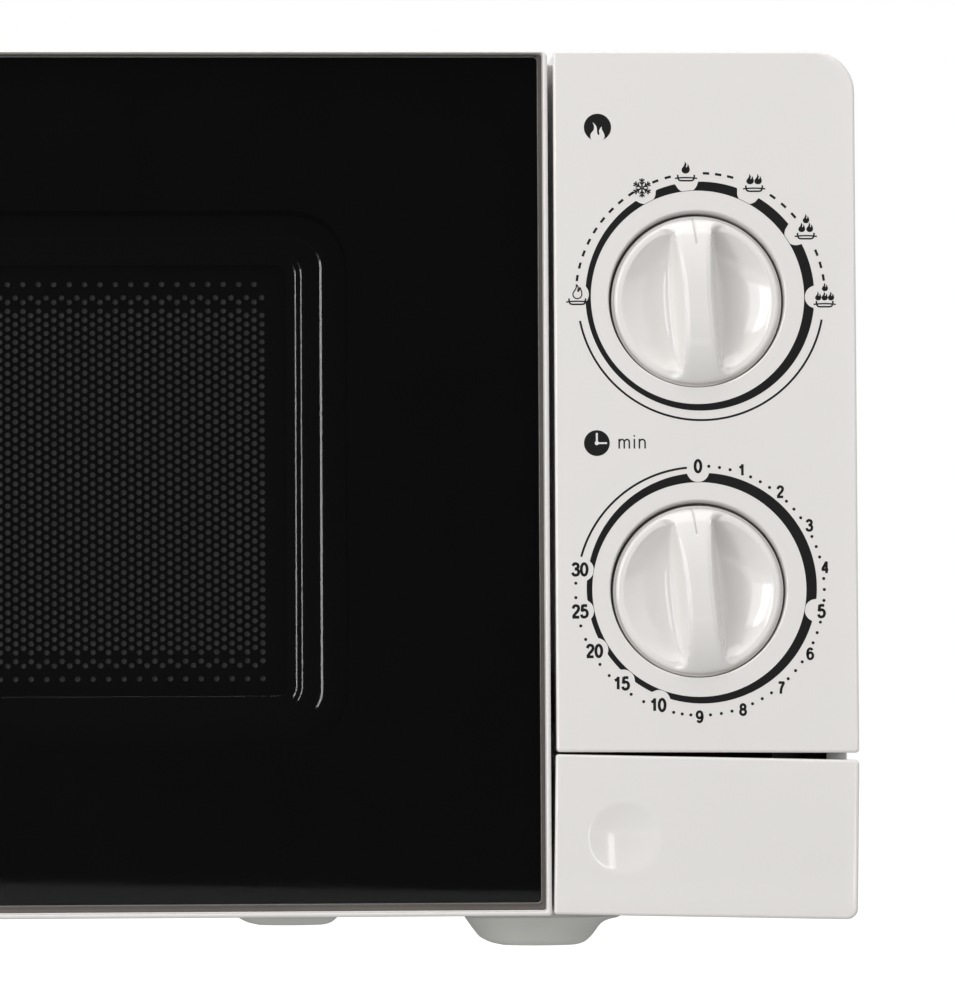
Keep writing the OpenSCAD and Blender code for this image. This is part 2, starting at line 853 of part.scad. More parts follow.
module door_frame() {
    glass_back = front + 1.4 + glass_t;
    ledge_w = 30;
    boss_inset = 24;
    notch_half = 7;
    color("white") difference() {
        union() {
            difference() {
                slab_y(front, door_back) door_outline(0);
                slab_y(front - 1, door_back + 1) door_outline(frame_t);
            }
            // Ledge that the front glass is glued to
            difference() {
                slab_y(glass_back, glass_back + 2) door_outline(frame_t - eps);
                slab_y(glass_back - 1, glass_back + 3) door_outline(ledge_w);
            }
            // Bosses that carry the steel pan
            for (x = [door_left + boss_inset, door_right - boss_inset], z = [32, (foot_h + body_h) / 2, 236])
                bar_y(x, z, 4, glass_back + 2 - eps, pan_front);
            // Shelf that holds the hook's spring
            block([hook_x - 2, -148, hook_spring_z - 2], [door_right - frame_t + eps, -139, hook_spring_z]);
            // Bushes for the two hinge pins
            bar_z(hinge_x, hinge_y, 6, upper_leg_z - 14, upper_leg_z - 1);
            bar_z(hinge_x, hinge_y, 6, lower_leg_z + 2.5, lower_leg_z + 15.5);
            block([hinge_x - 8, hinge_y - 3, upper_leg_z - 14], [hinge_x - 4, hinge_y + 3, upper_leg_z - 3]);
            block([hinge_x - 8, hinge_y - 3, lower_leg_z + 4.5], [hinge_x - 4, hinge_y + 3, lower_leg_z + 15.5]);
        }
        bar_z(hinge_x, hinge_y, pin_r + pin_play, upper_leg_z - 15, upper_leg_z);
        bar_z(hinge_x, hinge_y, pin_r + pin_play, lower_leg_z + 1, lower_leg_z + 16);
        // Notches that clear the hinge brackets as the door swings
        for (z = [upper_leg_z + 0.75, lower_leg_z + 0.75])
            block([door_left - 1, hinge_y - 9, z - notch_half], [door_left + frame_t + 1, door_back + 1, z + notch_half]);
    }
}

module door_glass() {
    glass_front = front + 1.4;
    color([0.05, 0.05, 0.06]) slab_y(glass_front, glass_front + glass_t)
        round_rect([door_left + 2.4, foot_h + 3.8], [door_right - 2.8, body_h - 1.8], 1);
}

// Steel pan of the door: flat front, turned-back rim and a stepped window border
module door_pan() {
    outer_low = [door_mid - choke_half, choke_low];
    outer_high = [door_mid + choke_half, choke_high];
    recess_lo = [door_mid - window_half + recess_side, window_low + recess_low];
    recess_hi = [door_mid + window_half - recess_side, window_high - recess_high];
    grow = [pan_t, pan_t];
    color([0.1, 0.1, 0.1]) {
        slab_y(pan_front, pan_front + pan_t) difference() {
            round_rect(outer_low, outer_high, 4);
            round_rect(recess_lo, recess_hi, 6.5);
        }
        slab_y(pan_front + pan_t, door_back - 2.2) difference() {
            round_rect(outer_low, outer_high, 4);
            round_rect(outer_low + grow, outer_high - grow, 4 - pan_t);
        }
        slab_y(pan_front + pan_t, pan_front + recess_depth) difference() {
            round_rect(recess_lo - grow, recess_hi + grow, 6.5 + pan_t);
            round_rect(recess_lo, recess_hi, 6.5);
        }
    }
}

module window_screen() {
    recess_lo = [door_mid - window_half + recess_side - pan_t, window_low + recess_low - pan_t];
    recess_hi = [door_mid + window_half - recess_side + pan_t, window_high - recess_high + pan_t];
    color([0.15, 0.15, 0.15])
        slab_y(pan_front + recess_depth, pan_front + recess_depth + 0.6) round_rect(recess_lo, recess_hi, 7);
}

module inner_window() {
    color([0.7, 0.75, 0.75, 0.5]) slab_y(pan_front + recess_depth + 0.6, pan_front + recess_depth + 1.4)
        rect([door_mid - choke_mouth_half - 1.5, choke_mouth_low - 1.5],
            [door_mid + choke_mouth_half + 1.5, choke_mouth_high + 1.5]);
}

module choke_cover() {
    back = door_back - 0.2;
    color("dimgray") {
        slab_y(back - 2, back) difference() {
            round_rect([door_mid - choke_half, choke_low], [door_mid + choke_half, choke_high], 4);
            rect([door_mid - choke_mouth_half, choke_mouth_low], [door_mid + choke_mouth_half, choke_mouth_high]);
        }
        slab_y(pan_front + recess_depth + 1.4, back - 2) difference() {
            rect([door_mid - choke_mouth_half - 1.5, choke_mouth_low - 1.5],
                [door_mid + choke_mouth_half + 1.5, choke_mouth_high + 1.5]);
            rect([door_mid - choke_mouth_half, choke_mouth_low], [door_mid + choke_mouth_half, choke_mouth_high]);
        }
    }
}

// Sliding latch of the door: an upright bar with two hooks that reach through the front plate
module door_hook() {
    bar_front = -147;
    bar_rear = -140;
    shank_h = 6;
    catch_h = 3;
    color("white") {
        block([hook_x, bar_front, hook_zs[0] - 10], [hook_x + hook_t, bar_rear, hook_zs[1] + 20]);
        for (z = hook_zs) {
            block([hook_x, bar_rear - eps, z], [hook_x + hook_t, -104, z + shank_h]);
            block([hook_x, cavity_front + 0.6, z - catch_h], [hook_x + hook_t, -117, z + eps]);
        }
    }
}

module hook_spring() {
    color("silver") translate([hook_x + hook_t / 2, -143.5, hook_spring_z])
        coil(2.6, 0.4, hook_zs[0] - 10 - hook_spring_z, 12);
}

outer_wrap();
base_plate();
back_plate();
front_plate();
cavity_box();
waveguide_cover();
foot_front_left();
foot_front_right();
foot_rear_left();
foot_rear_right();
rear_spacers();
casing_screws();
cord_gland();
filter_board();
line_fuse();
waveguide();
magnetron();
transformer_core();
transformer_windings();
hv_capacitor();
capacitor_clamp();
hv_diode();
thermal_cutout();
lamp_holder();
oven_lamp();
fan_shroud();
fan_motor();
fan_blade();
turntable_motor();
turntable_coupler();
glass_tray();
roller_ring();
roller_1();
roller_2();
roller_3();
control_panel();
panel_screws();
timer_unit();
timer_bell();
power_shaft();
power_knob();
timer_shaft();
timer_knob();
latch_board();
lower_door_switch();
middle_door_switch();
upper_door_switch();
release_lever();
release_button();
button_spring();
upper_hinge();
lower_hinge();
door_frame();
door_glass();
door_pan();
window_screen();
inner_window();
choke_cover();
door_hook();
hook_spring();
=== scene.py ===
import json
import math

import bmesh
import bpy
from mathutils import Matrix, Vector


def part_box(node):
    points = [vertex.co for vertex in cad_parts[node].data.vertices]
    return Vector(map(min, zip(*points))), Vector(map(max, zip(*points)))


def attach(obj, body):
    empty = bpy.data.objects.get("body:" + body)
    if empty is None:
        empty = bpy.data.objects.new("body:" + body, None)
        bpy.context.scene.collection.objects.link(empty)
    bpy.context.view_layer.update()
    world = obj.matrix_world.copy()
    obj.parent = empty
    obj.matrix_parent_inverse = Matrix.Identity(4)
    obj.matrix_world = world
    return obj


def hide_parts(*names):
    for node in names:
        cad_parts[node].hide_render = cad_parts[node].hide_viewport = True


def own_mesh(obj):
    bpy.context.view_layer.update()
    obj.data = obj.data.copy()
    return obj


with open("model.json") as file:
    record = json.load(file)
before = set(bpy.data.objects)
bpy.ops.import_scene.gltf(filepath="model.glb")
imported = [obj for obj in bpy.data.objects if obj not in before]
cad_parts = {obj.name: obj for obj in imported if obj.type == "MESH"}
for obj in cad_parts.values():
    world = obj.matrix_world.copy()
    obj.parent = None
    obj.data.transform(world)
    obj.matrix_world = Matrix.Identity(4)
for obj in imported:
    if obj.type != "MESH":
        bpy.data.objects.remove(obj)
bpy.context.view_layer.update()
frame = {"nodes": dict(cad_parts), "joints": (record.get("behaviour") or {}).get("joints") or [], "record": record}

MM = 0.001


def box(node):
    """Lowest and highest corner of a CAD node, in millimetres."""
    low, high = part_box(node)
    return low / MM, high / MM


def joint_point(name):
    """The point on a joint's axis, in millimetres."""
    found = next(j for j in frame["joints"] if j["name"] == name)
    return Vector(found["pos_m"]) / MM


# ---- Places, in millimetres, from the frame ----

DOOR_LOW, DOOR_HIGH = box("door_frame")
PANEL_LOW, PANEL_HIGH = box("control_panel")
GLASS_LOW, GLASS_HIGH = box("door_glass")
PAN_LOW, PAN_HIGH = box("door_pan")
SCREEN_LOW, SCREEN_HIGH = box("window_screen")
FRONT = DOOR_LOW.y
DOOR_BACK = DOOR_HIGH.y
PLATE_FRONT = PANEL_HIGH.y
DOOR_MID = (DOOR_LOW.x + DOOR_HIGH.x) / 2
DOOR_EDGE = DOOR_HIGH.x + 0.3
PANEL_EDGE = PANEL_LOW.x + 0.3
POWER_DIAL = joint_point("power_turn")
TIMER_DIAL = joint_point("timer_turn")
HINGE = joint_point("door_swing")

# Sizes that the frame doesn't give, in millimetres
WELL_R = 25.1
WELL_DEPTH = 10
KNOB_R = 23.75
KNOB_SAG = 0.3
POWER_LEAN = -3.4
TIMER_LEAN = -5.0
PANEL_WALL = 2.2
CORNER_R = 12
BUTTON_SKEW = 0.9
PRINT_FRONT = FRONT - 0.03
PRINT_BACK = FRONT + 0.05
PRINT_FILM = 0.16
STEP_SLOPE = 24.3
WINDOW_RIGHT = 66.65
WINDOW_LOW = 66.0
WINDOW_TOP = 205.4
SHEET = 0.8
LEDGE = 30
SHAFT_HOLE_R = 5
GUIDE_LEFT, GUIDE_LOW, GUIDE_RIGHT, GUIDE_TOP = 135.6, 13.4, 216.6, 51.8
BUTTON_WALL = 2.0
LIP = 0.9
SCOOP_R = 21.6
GRIP_HALF = 19
POINTER_WIDTH = 0.84
EDGE_ROUNDING = 0.25
SMOOTH_BELOW = 35


# ---- Outlines and mesh building ----


def turned(x, z, degrees):
    """A point in X and Z turned about the origin, clockwise from the front."""
    a = math.radians(degrees)
    return x * math.cos(a) + z * math.sin(a), z * math.cos(a) - x * math.sin(a)


def rounded(corners, inset=0.0, steps=6):
    """A convex outline of (x, z, radius) corners, anticlockwise, moved inwards by inset and rounded."""
    points = []
    for i, (x, z, corner_radius) in enumerate(corners):
        before = Vector(corners[i - 1][:2])
        here = Vector((x, z))
        after = Vector(corners[(i + 1) % len(corners)][:2])
        a = (here - before).normalized()
        b = (after - here).normalized()
        turn = math.atan2(a.x * b.y - a.y * b.x, a.dot(b))
        side_a = Vector((-a.y, a.x))
        side_b = Vector((-b.y, b.x))
        corner = here + (side_a + side_b) / (1 + side_a.dot(side_b)) * inset
        radius = max(corner_radius - inset, 0.05)
        centre = corner - a * radius * math.tan(turn / 2) + side_a * radius
        for k in range(steps + 1):
            angle = turn * k / steps
            c, s = math.cos(angle) * radius, math.sin(angle) * radius
            points.append((centre.x - side_a.x * c + side_a.y * s, centre.y - side_a.x * s - side_a.y * c))
    return points


def rectangle(x0, z0, x1, z1, radius):
    """The corners of an upright rectangle, for rounded()."""
    return [(x0, z0, radius), (x1, z0, radius), (x1, z1, radius), (x0, z1, radius)]


def circle(x, z, radius, steps):
    """Points round a circle in X and Z."""
    turn = 2 * math.pi / steps
    return [(x + radius * math.cos(turn * k), z + radius * math.sin(turn * k)) for k in range(steps)]


def quarter(inset, y, radius, first, last, steps=5):
    """An arc of (inset, y) pairs about a centre: 0 degrees points outwards, 90 to the front."""
    made = []
    for k in range(steps + 1):
        a = math.radians(first + (last - first) * k / steps)
        made.append((inset - radius * math.cos(a), y - radius * math.sin(a)))
    return made


class Shape:
    """Closed meshes made of loops of points, in millimetres."""

    def __init__(self):
        self.mesh = bmesh.new()

    def loop(self, points):
        return [self.mesh.verts.new(Vector(p) * MM) for p in points]

    def flat(self, outline, y):
        """A loop from an outline in X and Z, at one depth."""
        return self.loop([(x, y, z) for x, z in outline])

    def skin(self, loops, closed=False):
        """Joins each loop to the next one with four-sided faces."""
        pairs = list(zip(loops, loops[1:]))
        if closed:
            pairs.append((loops[-1], loops[0]))
        for a, b in pairs:
            for i in range(len(a)):
                self.mesh.faces.new((a[i - 1], a[i], b[i], b[i - 1]))

    def fill(self, outline, *holes):
        """Fills the flat area inside a loop, apart from its holes."""
        if not holes:
            self.mesh.faces.new(outline)
            return
        edges = []
        for loop in (outline, *holes):
            for i in range(len(loop)):
                pair = (loop[i - 1], loop[i])
                edges.append(self.mesh.edges.get(pair) or self.mesh.edges.new(pair))
        bmesh.ops.triangle_fill(self.mesh, use_beauty=True, use_dissolve=False, edges=edges)

    def sweep(self, corners, profile, steps=6):
        """Loops of one outline at the (inset, y) pairs of a profile, skinned together."""
        loops = [self.flat(rounded(corners, inset, steps), y) for inset, y in profile]
        self.skin(loops)
        return loops

    def spin(self, place, profile, steps=72):
        """A solid of revolution: place(radius, angle, along) turns each (radius, along) into a point."""
        loops = []
        for radius, along in profile:
            count = steps if radius > 0 else 1
            loops.append(self.loop([place(radius, 2 * math.pi * k / steps, along) for k in range(count)]))
        if profile[0][0] > 0:
            loops.append(loops[0])
        for a, b in zip(loops, loops[1:]):
            for i in range(max(len(a), len(b))):
                ring = [a[i - 1], a[i]] if len(a) > 1 else [a[0]]
                ring += [b[i], b[i - 1]] if len(b) > 1 else [b[0]]
                self.mesh.faces.new(ring)

    def block(self, low, high, radius=0.3):
        """A box with rounded edges."""
        low, high = Vector(low), Vector(high)
        made = bmesh.ops.create_cube(self.mesh, size=1.0)["verts"]
        for v in made:
            v.co = Vector([(low[k] + (v.co[k] + 0.5) * (high[k] - low[k])) * MM for k in range(3)])
        edges = list({e for v in made for e in v.link_edges})
        bmesh.ops.bevel(self.mesh, geom=edges, offset=radius * MM, segments=2, affect="EDGES", profile=0.5)

    def slab(self, outline, y_front, y_back):
        """A flat outline in X and Z given a thickness."""
        loops = [self.flat(outline, y_front), self.flat(outline, y_back)]
        self.skin(loops)
        self.cap(loops)

    def stroke(self, points, width, y_front, y_back):
        """A line of even width through points in X and Z, as a thin slab."""
        left, right = [], []
        for i, p in enumerate(points):
            before = Vector(points[max(i - 1, 0)])
            after = Vector(points[min(i + 1, len(points) - 1)])
            along = (after - before).normalized() * width / 2
            left.append((p[0] - along.y, p[1] + along.x))
            right.append((p[0] + along.y, p[1] - along.x))
        rows = [
            self.loop([(x, y, z) for x, z in side])
            for side, y in ((left, y_front), (right, y_front), (right, y_back), (left, y_back))
        ]
        for a, b in zip(rows, rows[1:] + rows[:1]):
            for i in range(len(points) - 1):
                self.mesh.faces.new((a[i], a[i + 1], b[i + 1], b[i]))
        for end in (0, -1):
            self.mesh.faces.new([row[end] for row in rows])

    def cap(self, loops):
        """Closes both ends of a run of loops."""
        self.fill(loops[0])
        self.fill(loops[-1])

    def tube(self, centres, radius, sides=10):
        """A round bar along points that stay close together."""
        loops = []
        count = len(centres)
        for i, centre in enumerate(centres):
            along = (Vector(centres[min(i + 1, count - 1)]) - Vector(centres[max(i - 1, 0)])).normalized()
            first = along.cross(Vector((0.3, 0.2, 1.0))).normalized()
            second = along.cross(first)
            turn = 2 * math.pi / sides
            loops.append(self.loop([
                Vector(centre) + (first * math.cos(turn * k) + second * math.sin(turn * k)) * radius
                for k in range(sides)
            ]))
        self.skin(loops)
        self.cap(loops)

    def finished(self, name):
        """The mesh with its faces turned outwards. The shape is used up."""
        bmesh.ops.recalc_face_normals(self.mesh, faces=self.mesh.faces)
        data = bpy.data.meshes.new(name)
        self.mesh.to_mesh(data)
        self.mesh.free()
        return data


def about_y(x, z):
    return lambda radius, angle, y: (x + radius * math.cos(angle), y, z + radius * math.sin(angle))


def about_z(x, y):
    return lambda radius, angle, z: (x + radius * math.cos(angle), y + radius * math.sin(angle), z)


def placed(name, data):
    """A new object in the scene."""
    made = bpy.data.objects.new(name, data)
    bpy.context.scene.collection.objects.link(made)
    return made


def even_normals(made):
    """Shades large faces flat where they meet small roundings."""
    even = made.modifiers.new("even_normals", "WEIGHTED_NORMAL")
    even.keep_sharp = True
    even.weight = 80


def piece(name, shape, body, slot, replaces=(), material=None, sharp=SMOOTH_BELOW):
    """Turns a shape into an object that rides on a body and takes its finish from a slot."""
    data = shape.finished(name)
    data.shade_smooth()
    data.set_sharp_from_angle(angle=math.radians(sharp))
    data.materials.append(material or finish(slot))
    made = placed(name, data)
    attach(made, body)
    if replaces:
        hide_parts(*replaces)
    even_normals(made)
    return made


# ---- Materials ----


def new_material(name, colour, rough, **sockets):
    """A Principled material whose even values are set on the shader itself."""
    made = bpy.data.materials.new(name)
    made.use_nodes = True
    shader = made.node_tree.nodes["Principled BSDF"]
    shader.inputs["Base Color"].default_value = (*colour, 1)
    shader.inputs["Roughness"].default_value = rough
    for socket, value in sockets.items():
        shader.inputs[socket.replace("_", " ")].default_value = value
    return made


def add_node(tree, kind, inputs=(), **settings):
    """Adds a shader node. Each of its inputs takes a value, or another node's output."""
    made = tree.nodes.new("ShaderNode" + kind)
    for name, value in settings.items():
        setattr(made, name, value)
    for name, value in dict(inputs).items():
        if isinstance(value, bpy.types.NodeSocket):
            tree.links.new(value, made.inputs[name])
        else:
            made.inputs[name].default_value = value
    return made


def feed(made, output, socket):
    """Joins an output to one of the material's own sockets."""
    made.node_tree.links.new(output, made.node_tree.nodes["Principled BSDF"].inputs[socket])


def noise(made, scale, detail=3.0, stretch=(1, 1, 1)):
    """A noise texture fixed to the object. Scale is in cycles a metre."""
    tree = made.node_tree
    place = add_node(tree, "TexCoord").outputs["Object"]
    mapped = add_node(tree, "Mapping", {"Vector": place, "Scale": stretch}).outputs["Vector"]
    return add_node(tree, "TexNoise", {"Vector": mapped, "Scale": scale, "Detail": detail}).outputs["Fac"]


def ramp(made, source, low, high, first=0.3, last=0.7):
    """Maps a texture's middle values on to a run of colours or numbers."""
    node = add_node(made.node_tree, "ValToRGB", {"Fac": source})
    for element, place, value in zip(node.color_ramp.elements, (first, last), (low, high)):
        element.position = place
        element.color = (*value, 1) if isinstance(value, tuple) else (value, value, value, 1)
    return node.outputs["Color"]


def mottle(made, low, high, scale, detail=4.0, stretch=(1, 1, 1)):
    """Colour that wanders a little between two tones."""
    feed(made, ramp(made, noise(made, scale, detail, stretch), low, high), "Base Color")


def vary_roughness(made, low, high, scale, stretch=(1, 1, 1)):
    """Roughness that wanders between two values."""
    feed(made, ramp(made, noise(made, scale, 4.0, stretch), low, high), "Roughness")


def bump(made, source, strength, depth_mm):
    """Small relief from a texture, depth in millimetres."""
    inputs = {"Height": source, "Strength": strength, "Distance": depth_mm * MM}
    feed(made, add_node(made.node_tree, "Bump", inputs).outputs["Normal"], "Normal")


def tones(colour, spread):
    """Two tones round a colour."""
    return tuple(c * (1 - spread) for c in colour), tuple(min(1, c * (1 + spread)) for c in colour)


def moulded(name, colour, rough, grain=2500, relief=0.02, spread=0.02, level=0.5):
    """Moulded plastic: a faint uneven tone and a fine grain."""
    made = new_material(name, colour, rough, Specular_IOR_Level=level)
    mottle(made, *tones(colour, spread), 40)
    vary_roughness(made, rough * 0.9, rough * 1.15, 90)
    bump(made, noise(made, grain, 2.0), 0.25, relief)
    return made


def painted(name, colour, rough, peel=450, relief=0.03, level=0.5):
    """Paint or enamel on sheet steel, with a little orange peel."""
    made = new_material(name, colour, rough, Specular_IOR_Level=level)
    mottle(made, *tones(colour, 0.006), 25)
    vary_roughness(made, rough * 0.9, rough * 1.15, 60)
    bump(made, noise(made, peel, 1.0), 0.35, relief)
    return made


def metal(name, colour, rough, stretch=(1, 1, 1), scale=700, spread=0.08):
    """Bare metal with a grain or a spangle."""
    made = new_material(name, colour, rough, Metallic=1.0)
    mottle(made, *tones(colour, spread), scale / 6, 4.0, stretch)
    vary_roughness(made, rough - 0.08, rough + 0.1, scale / 3, stretch)
    bump(made, noise(made, scale, 3.0, stretch), 0.2, 0.03)
    return made


def spangled(name, colour, rough):
    """Zinc-coated sheet: pale crystals of slightly different tones."""
    made = new_material(name, colour, rough, Metallic=0.9)
    place = add_node(made.node_tree, "TexCoord").outputs["Object"]
    cells = add_node(made.node_tree, "TexVoronoi", {"Vector": place, "Scale": 170})
    feed(made, ramp(made, cells.outputs["Color"], *tones(colour, 0.12), 0.2, 0.8), "Base Color")
    vary_roughness(made, rough - 0.08, rough + 0.1, 200)
    bump(made, noise(made, 900, 2.0), 0.15, 0.02)
    return made


def clear(name, colour, rough, alpha, level=0.5):
    """A see-through sheet with a faint haze on it."""
    made = new_material(name, colour, rough, Alpha=alpha, Specular_IOR_Level=level)
    vary_roughness(made, rough, rough + 0.015, 30)
    made.surface_render_method = "BLENDED"
    return made


def banded(name, colour, rough, metallic, direction, bands, wander, spread, strength, depth_mm):
    """Metal in close bands across one direction: wire in turns, or a stack of sheets seen on edge."""
    made = new_material(name, colour, rough, Metallic=metallic)
    place = add_node(made.node_tree, "TexCoord").outputs["Object"]
    inputs = {"Vector": place, "Scale": bands, "Distortion": wander}
    wave = add_node(made.node_tree, "TexWave", inputs, bands_direction=direction).outputs["Fac"]
    feed(made, ramp(made, wave, *tones(colour, spread), 0.1, 0.9), "Base Color")
    bump(made, wave, strength, depth_mm)
    return made


FINISHES = {
    "white_enamel": lambda n: painted(n, (0.74, 0.735, 0.72), 0.32),
    "white_plastic": lambda n: moulded(n, (0.78, 0.758, 0.737), 0.075, 1600, 0.006, 0.004, 0.5),
    "cavity_enamel": lambda n: painted(n, (0.66, 0.67, 0.66), 0.35),
    "galvanised_steel": lambda n: spangled(n, (0.62, 0.63, 0.64), 0.38),
    "spring_steel": lambda n: metal(n, (0.55, 0.55, 0.56), 0.28),
    "mica": lambda n: moulded(n, (0.60, 0.50, 0.34), 0.55, 500, 0.04, 0.2),
    "foot_plastic": lambda n: moulded(n, (0.655, 0.655, 0.615), 0.5, 1800, 0.03, 0.04, 0.35),
    "black_plastic": lambda n: moulded(n, (0.02, 0.02, 0.02), 0.5, 1500, 0.04, 0.2, 0.4),
    "dark_plastic": lambda n: moulded(n, (0.05, 0.05, 0.053), 0.48, 1500, 0.04, 0.15, 0.4),
    "ivory_plastic": lambda n: moulded(n, (0.70, 0.67, 0.57), 0.42, 1800, 0.03, 0.04),
    "front_glass": lambda n: clear(n, (0.004, 0.004, 0.0045), 0.02, 0.22, 0.42),
    "clear_film": lambda n: clear(n, (0.215, 0.218, 0.218), 0.35, 0.5, 0.3),
    "tray_glass": lambda n: clear(n, (0.75, 0.86, 0.84), 0.06, 0.35),
    "lamp_glass": lambda n: clear(n, (0.9, 0.87, 0.75), 0.05, 0.45),
    "black_enamel": lambda n: painted(n, (0.005, 0.005, 0.005), 0.07, 300, 0.0004, 0.95),
    "core_iron": lambda n: banded(n, (0.20, 0.20, 0.21), 0.5, 0.7, "Y", 300, 0.2, 0.35, 0.6, 0.2),
    "copper": lambda n: banded(n, (0.55, 0.24, 0.10), 0.32, 0.6, "Z", 330, 0.4, 0.3, 0.8, 0.4),
    "bell_brass": lambda n: metal(n, (0.72, 0.55, 0.24), 0.22),
    "can_aluminium": lambda n: metal(n, (0.72, 0.73, 0.74), 0.3, (1, 1, 8)),
    "circuit_board": lambda n: moulded(n, (0.02, 0.13, 0.05), 0.35, 300, 0.06, 0.3),
}
made_finishes = {}


def finish(slot):
    """The material of one of the record's slots, made once."""
    if slot not in made_finishes:
        made_finishes[slot] = FINISHES[slot](slot)
    return made_finishes[slot]


mask_black = moulded("mask_black", (0.0052, 0.0052, 0.0052), 0.5, 1500, 0.002, 0.1, 0.0)
ink = moulded("ink", (0.013, 0.013, 0.0135), 0.5, 2500, 0.01, 0.1, 0.15)
# Painted shade: this brown tone stands for the shaded inner wall of the groove between the glass and the frame.
painted_shade_brown = moulded("painted_shade_brown", (0.14, 0.125, 0.113), 0.5, 1500, 0.01, 0.1, 0.3)


# ---- CAD nodes that stay ----


def dress_cad_nodes():
    """Gives every CAD node its slot's material, joined edges and a small rounding."""
    for row in frame["record"]["subparts"]:
        node = frame["nodes"][row["node"]]
        node.data.materials.clear()
        node.data.materials.append(finish(row["material_slot"]))
        weld = node.modifiers.new("weld", "WELD")
        weld.merge_threshold = 1e-6
        low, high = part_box(row["node"])
        thin = min(high - low)
        edge = node.modifiers.new("edge", "BEVEL")
        edge.width = min(EDGE_ROUNDING * MM, thin * 0.2)
        edge.segments = 2
        edge.limit_method = "ANGLE"
        edge.angle_limit = math.radians(50)
        edge.harden_normals = False
        even_normals(node)
        node.data.shade_smooth()
        node.data.set_sharp_from_angle(angle=math.radians(SMOOTH_BELOW))


# ---- Door ----


def frame_corners(left, low, right, high, radius):
    """The door's outline, each side moved inwards by its own amount."""
    corners = rectangle(DOOR_LOW.x + left, DOOR_LOW.z + low, DOOR_EDGE - right, DOOR_HIGH.z - high, radius)
    return [(x, z, min(r, 0.6) if z < DOOR_LOW.z + 31 else r) for x, z, r in corners]


def door_frame():
    """The white moulded frame: a rounded lip, a stepped groove round the glass and the ledge behind it."""
    shape = Shape()
    glass_back = GLASS_HIGH.y
    rows = [
        (0, 0, 0, 0, 2.0, DOOR_BACK),
        (0, 0, 0, 0, 2.0, FRONT + 0.8),
        (0.06, 0.06, 0.06, 0.06, 1.9, FRONT + 0.5),
        (0.24, 0.24, 0.24, 0.24, 1.8, FRONT + 0.24),
        (0.5, 0.45, 0.5, 0.3, 1.5, FRONT + 0.06),
        (0.8, 0.7, 0.75, 0.4, 1.3, FRONT),
        (1.25, 1.05, 1.1, 0.5, 0.9, FRONT),
        (1.45, 1.2, 1.3, 0.56, 0.8, FRONT + 0.15),
        (1.5, 1.3, 1.4, 0.6, 0.8, FRONT + 0.5),
        (1.55, 1.4, 1.5, 0.65, 0.8, FRONT + 1.4),
        (1.6, 1.6, 1.55, 0.7, 0.8, FRONT + 1.5),
        (1.7, 1.7, 1.6, 0.75, 0.8, glass_back),
        (LEDGE, LEDGE, LEDGE, LEDGE, 0.5, glass_back),
        (LEDGE, LEDGE, LEDGE, LEDGE, 0.5, glass_back + 2),
        (1.7, 1.7, 1.6, 1.6, 0.8, glass_back + 2),
        (1.6, 1.6, 1.6, 1.6, 0.5, DOOR_BACK),
    ]
    loops = [shape.flat(rounded(frame_corners(*row[:5])), row[5]) for row in rows]
    shape.skin(loops, closed=True)
    boss = [(0, glass_back + 1.9), (4, glass_back + 1.9), (4, PAN_LOW.y), (0, PAN_LOW.y)]
    for x in (DOOR_LOW.x + 24, DOOR_HIGH.x - 24):
        for z in (32, (DOOR_LOW.z + DOOR_HIGH.z) / 2, 236):
            shape.spin(about_y(x, z), boss, 32)
    bush = [(2.55, 0), (2.55, 13), (5.6, 13), (6, 12.6), (6, 0.4), (5.6, 0)]
    for z in (box("upper_hinge")[0].z + 4, box("lower_hinge")[0].z + 8.5):
        shape.spin(about_z(HINGE.x, HINGE.y), [(r, z + h) for r, h in bush], 48)
        shape.block((HINGE.x - 8, HINGE.y - 3, z + 0.5), (HINGE.x - 4.9, HINGE.y + 3, z + 11), 0.3)
    hook_low, spring_low = box("door_hook")[0], box("hook_spring")[0]
    shape.block((hook_low.x - 2, -148, spring_low.z - 2), (DOOR_HIGH.x - 1.6, -139, spring_low.z), 0.3)
    return piece("moulded_door_frame", shape, "door", "white_plastic", ["door_frame"])


def cut_hinge_notches(frame_piece):
    """Notches in the frame's left wall that clear the hinge brackets as the door swings."""
    cutter = Shape()
    for node in ("upper_hinge", "lower_hinge"):
        low, high = box(node)
        leg = high.z - 5.25 if node == "upper_hinge" else low.z + 6.75
        cutter.block(
            (DOOR_LOW.x - 1, HINGE.y - 9, leg - 7), (DOOR_LOW.x + 3, DOOR_BACK + 1, leg + 7), 0.5
        )
    tool = placed("cutter", cutter.finished("cutter"))
    cut = frame_piece.modifiers.new("notches", "BOOLEAN")
    cut.operation = "DIFFERENCE"
    cut.solver = "EXACT"
    cut.use_self = True
    cut.object = tool
    depsgraph = bpy.context.evaluated_depsgraph_get()
    result = bpy.data.meshes.new_from_object(frame_piece.evaluated_get(depsgraph))
    frame_piece.modifiers.clear()
    frame_piece.data = result
    bpy.data.objects.remove(tool)
    result.set_sharp_from_angle(angle=math.radians(SMOOTH_BELOW))


def glass_corners(grow=0.0):
    right = min(GLASS_HIGH.x + 0.5, DOOR_EDGE - 1.7)
    high = min(GLASS_HIGH.z + 0.6, DOOR_HIGH.z - 0.8)
    return rectangle(GLASS_LOW.x - grow, GLASS_LOW.z - 0.3 - grow, right + grow, high + grow, 1.2)


def door_glass():
    """The front glass, its front edge ground to a narrow bevel."""
    shape = Shape()
    near, far = GLASS_LOW.y, GLASS_HIGH.y - PRINT_FILM
    loops = shape.sweep(
        glass_corners(),
        [(0.25, far), (0, far - 0.25), (0, near + 0.35), (0.45, near + 0.02), (0.52, near)],
    )
    shape.cap(loops)
    piece("bevelled_front_glass", shape, "door", "front_glass", ["door_glass"])


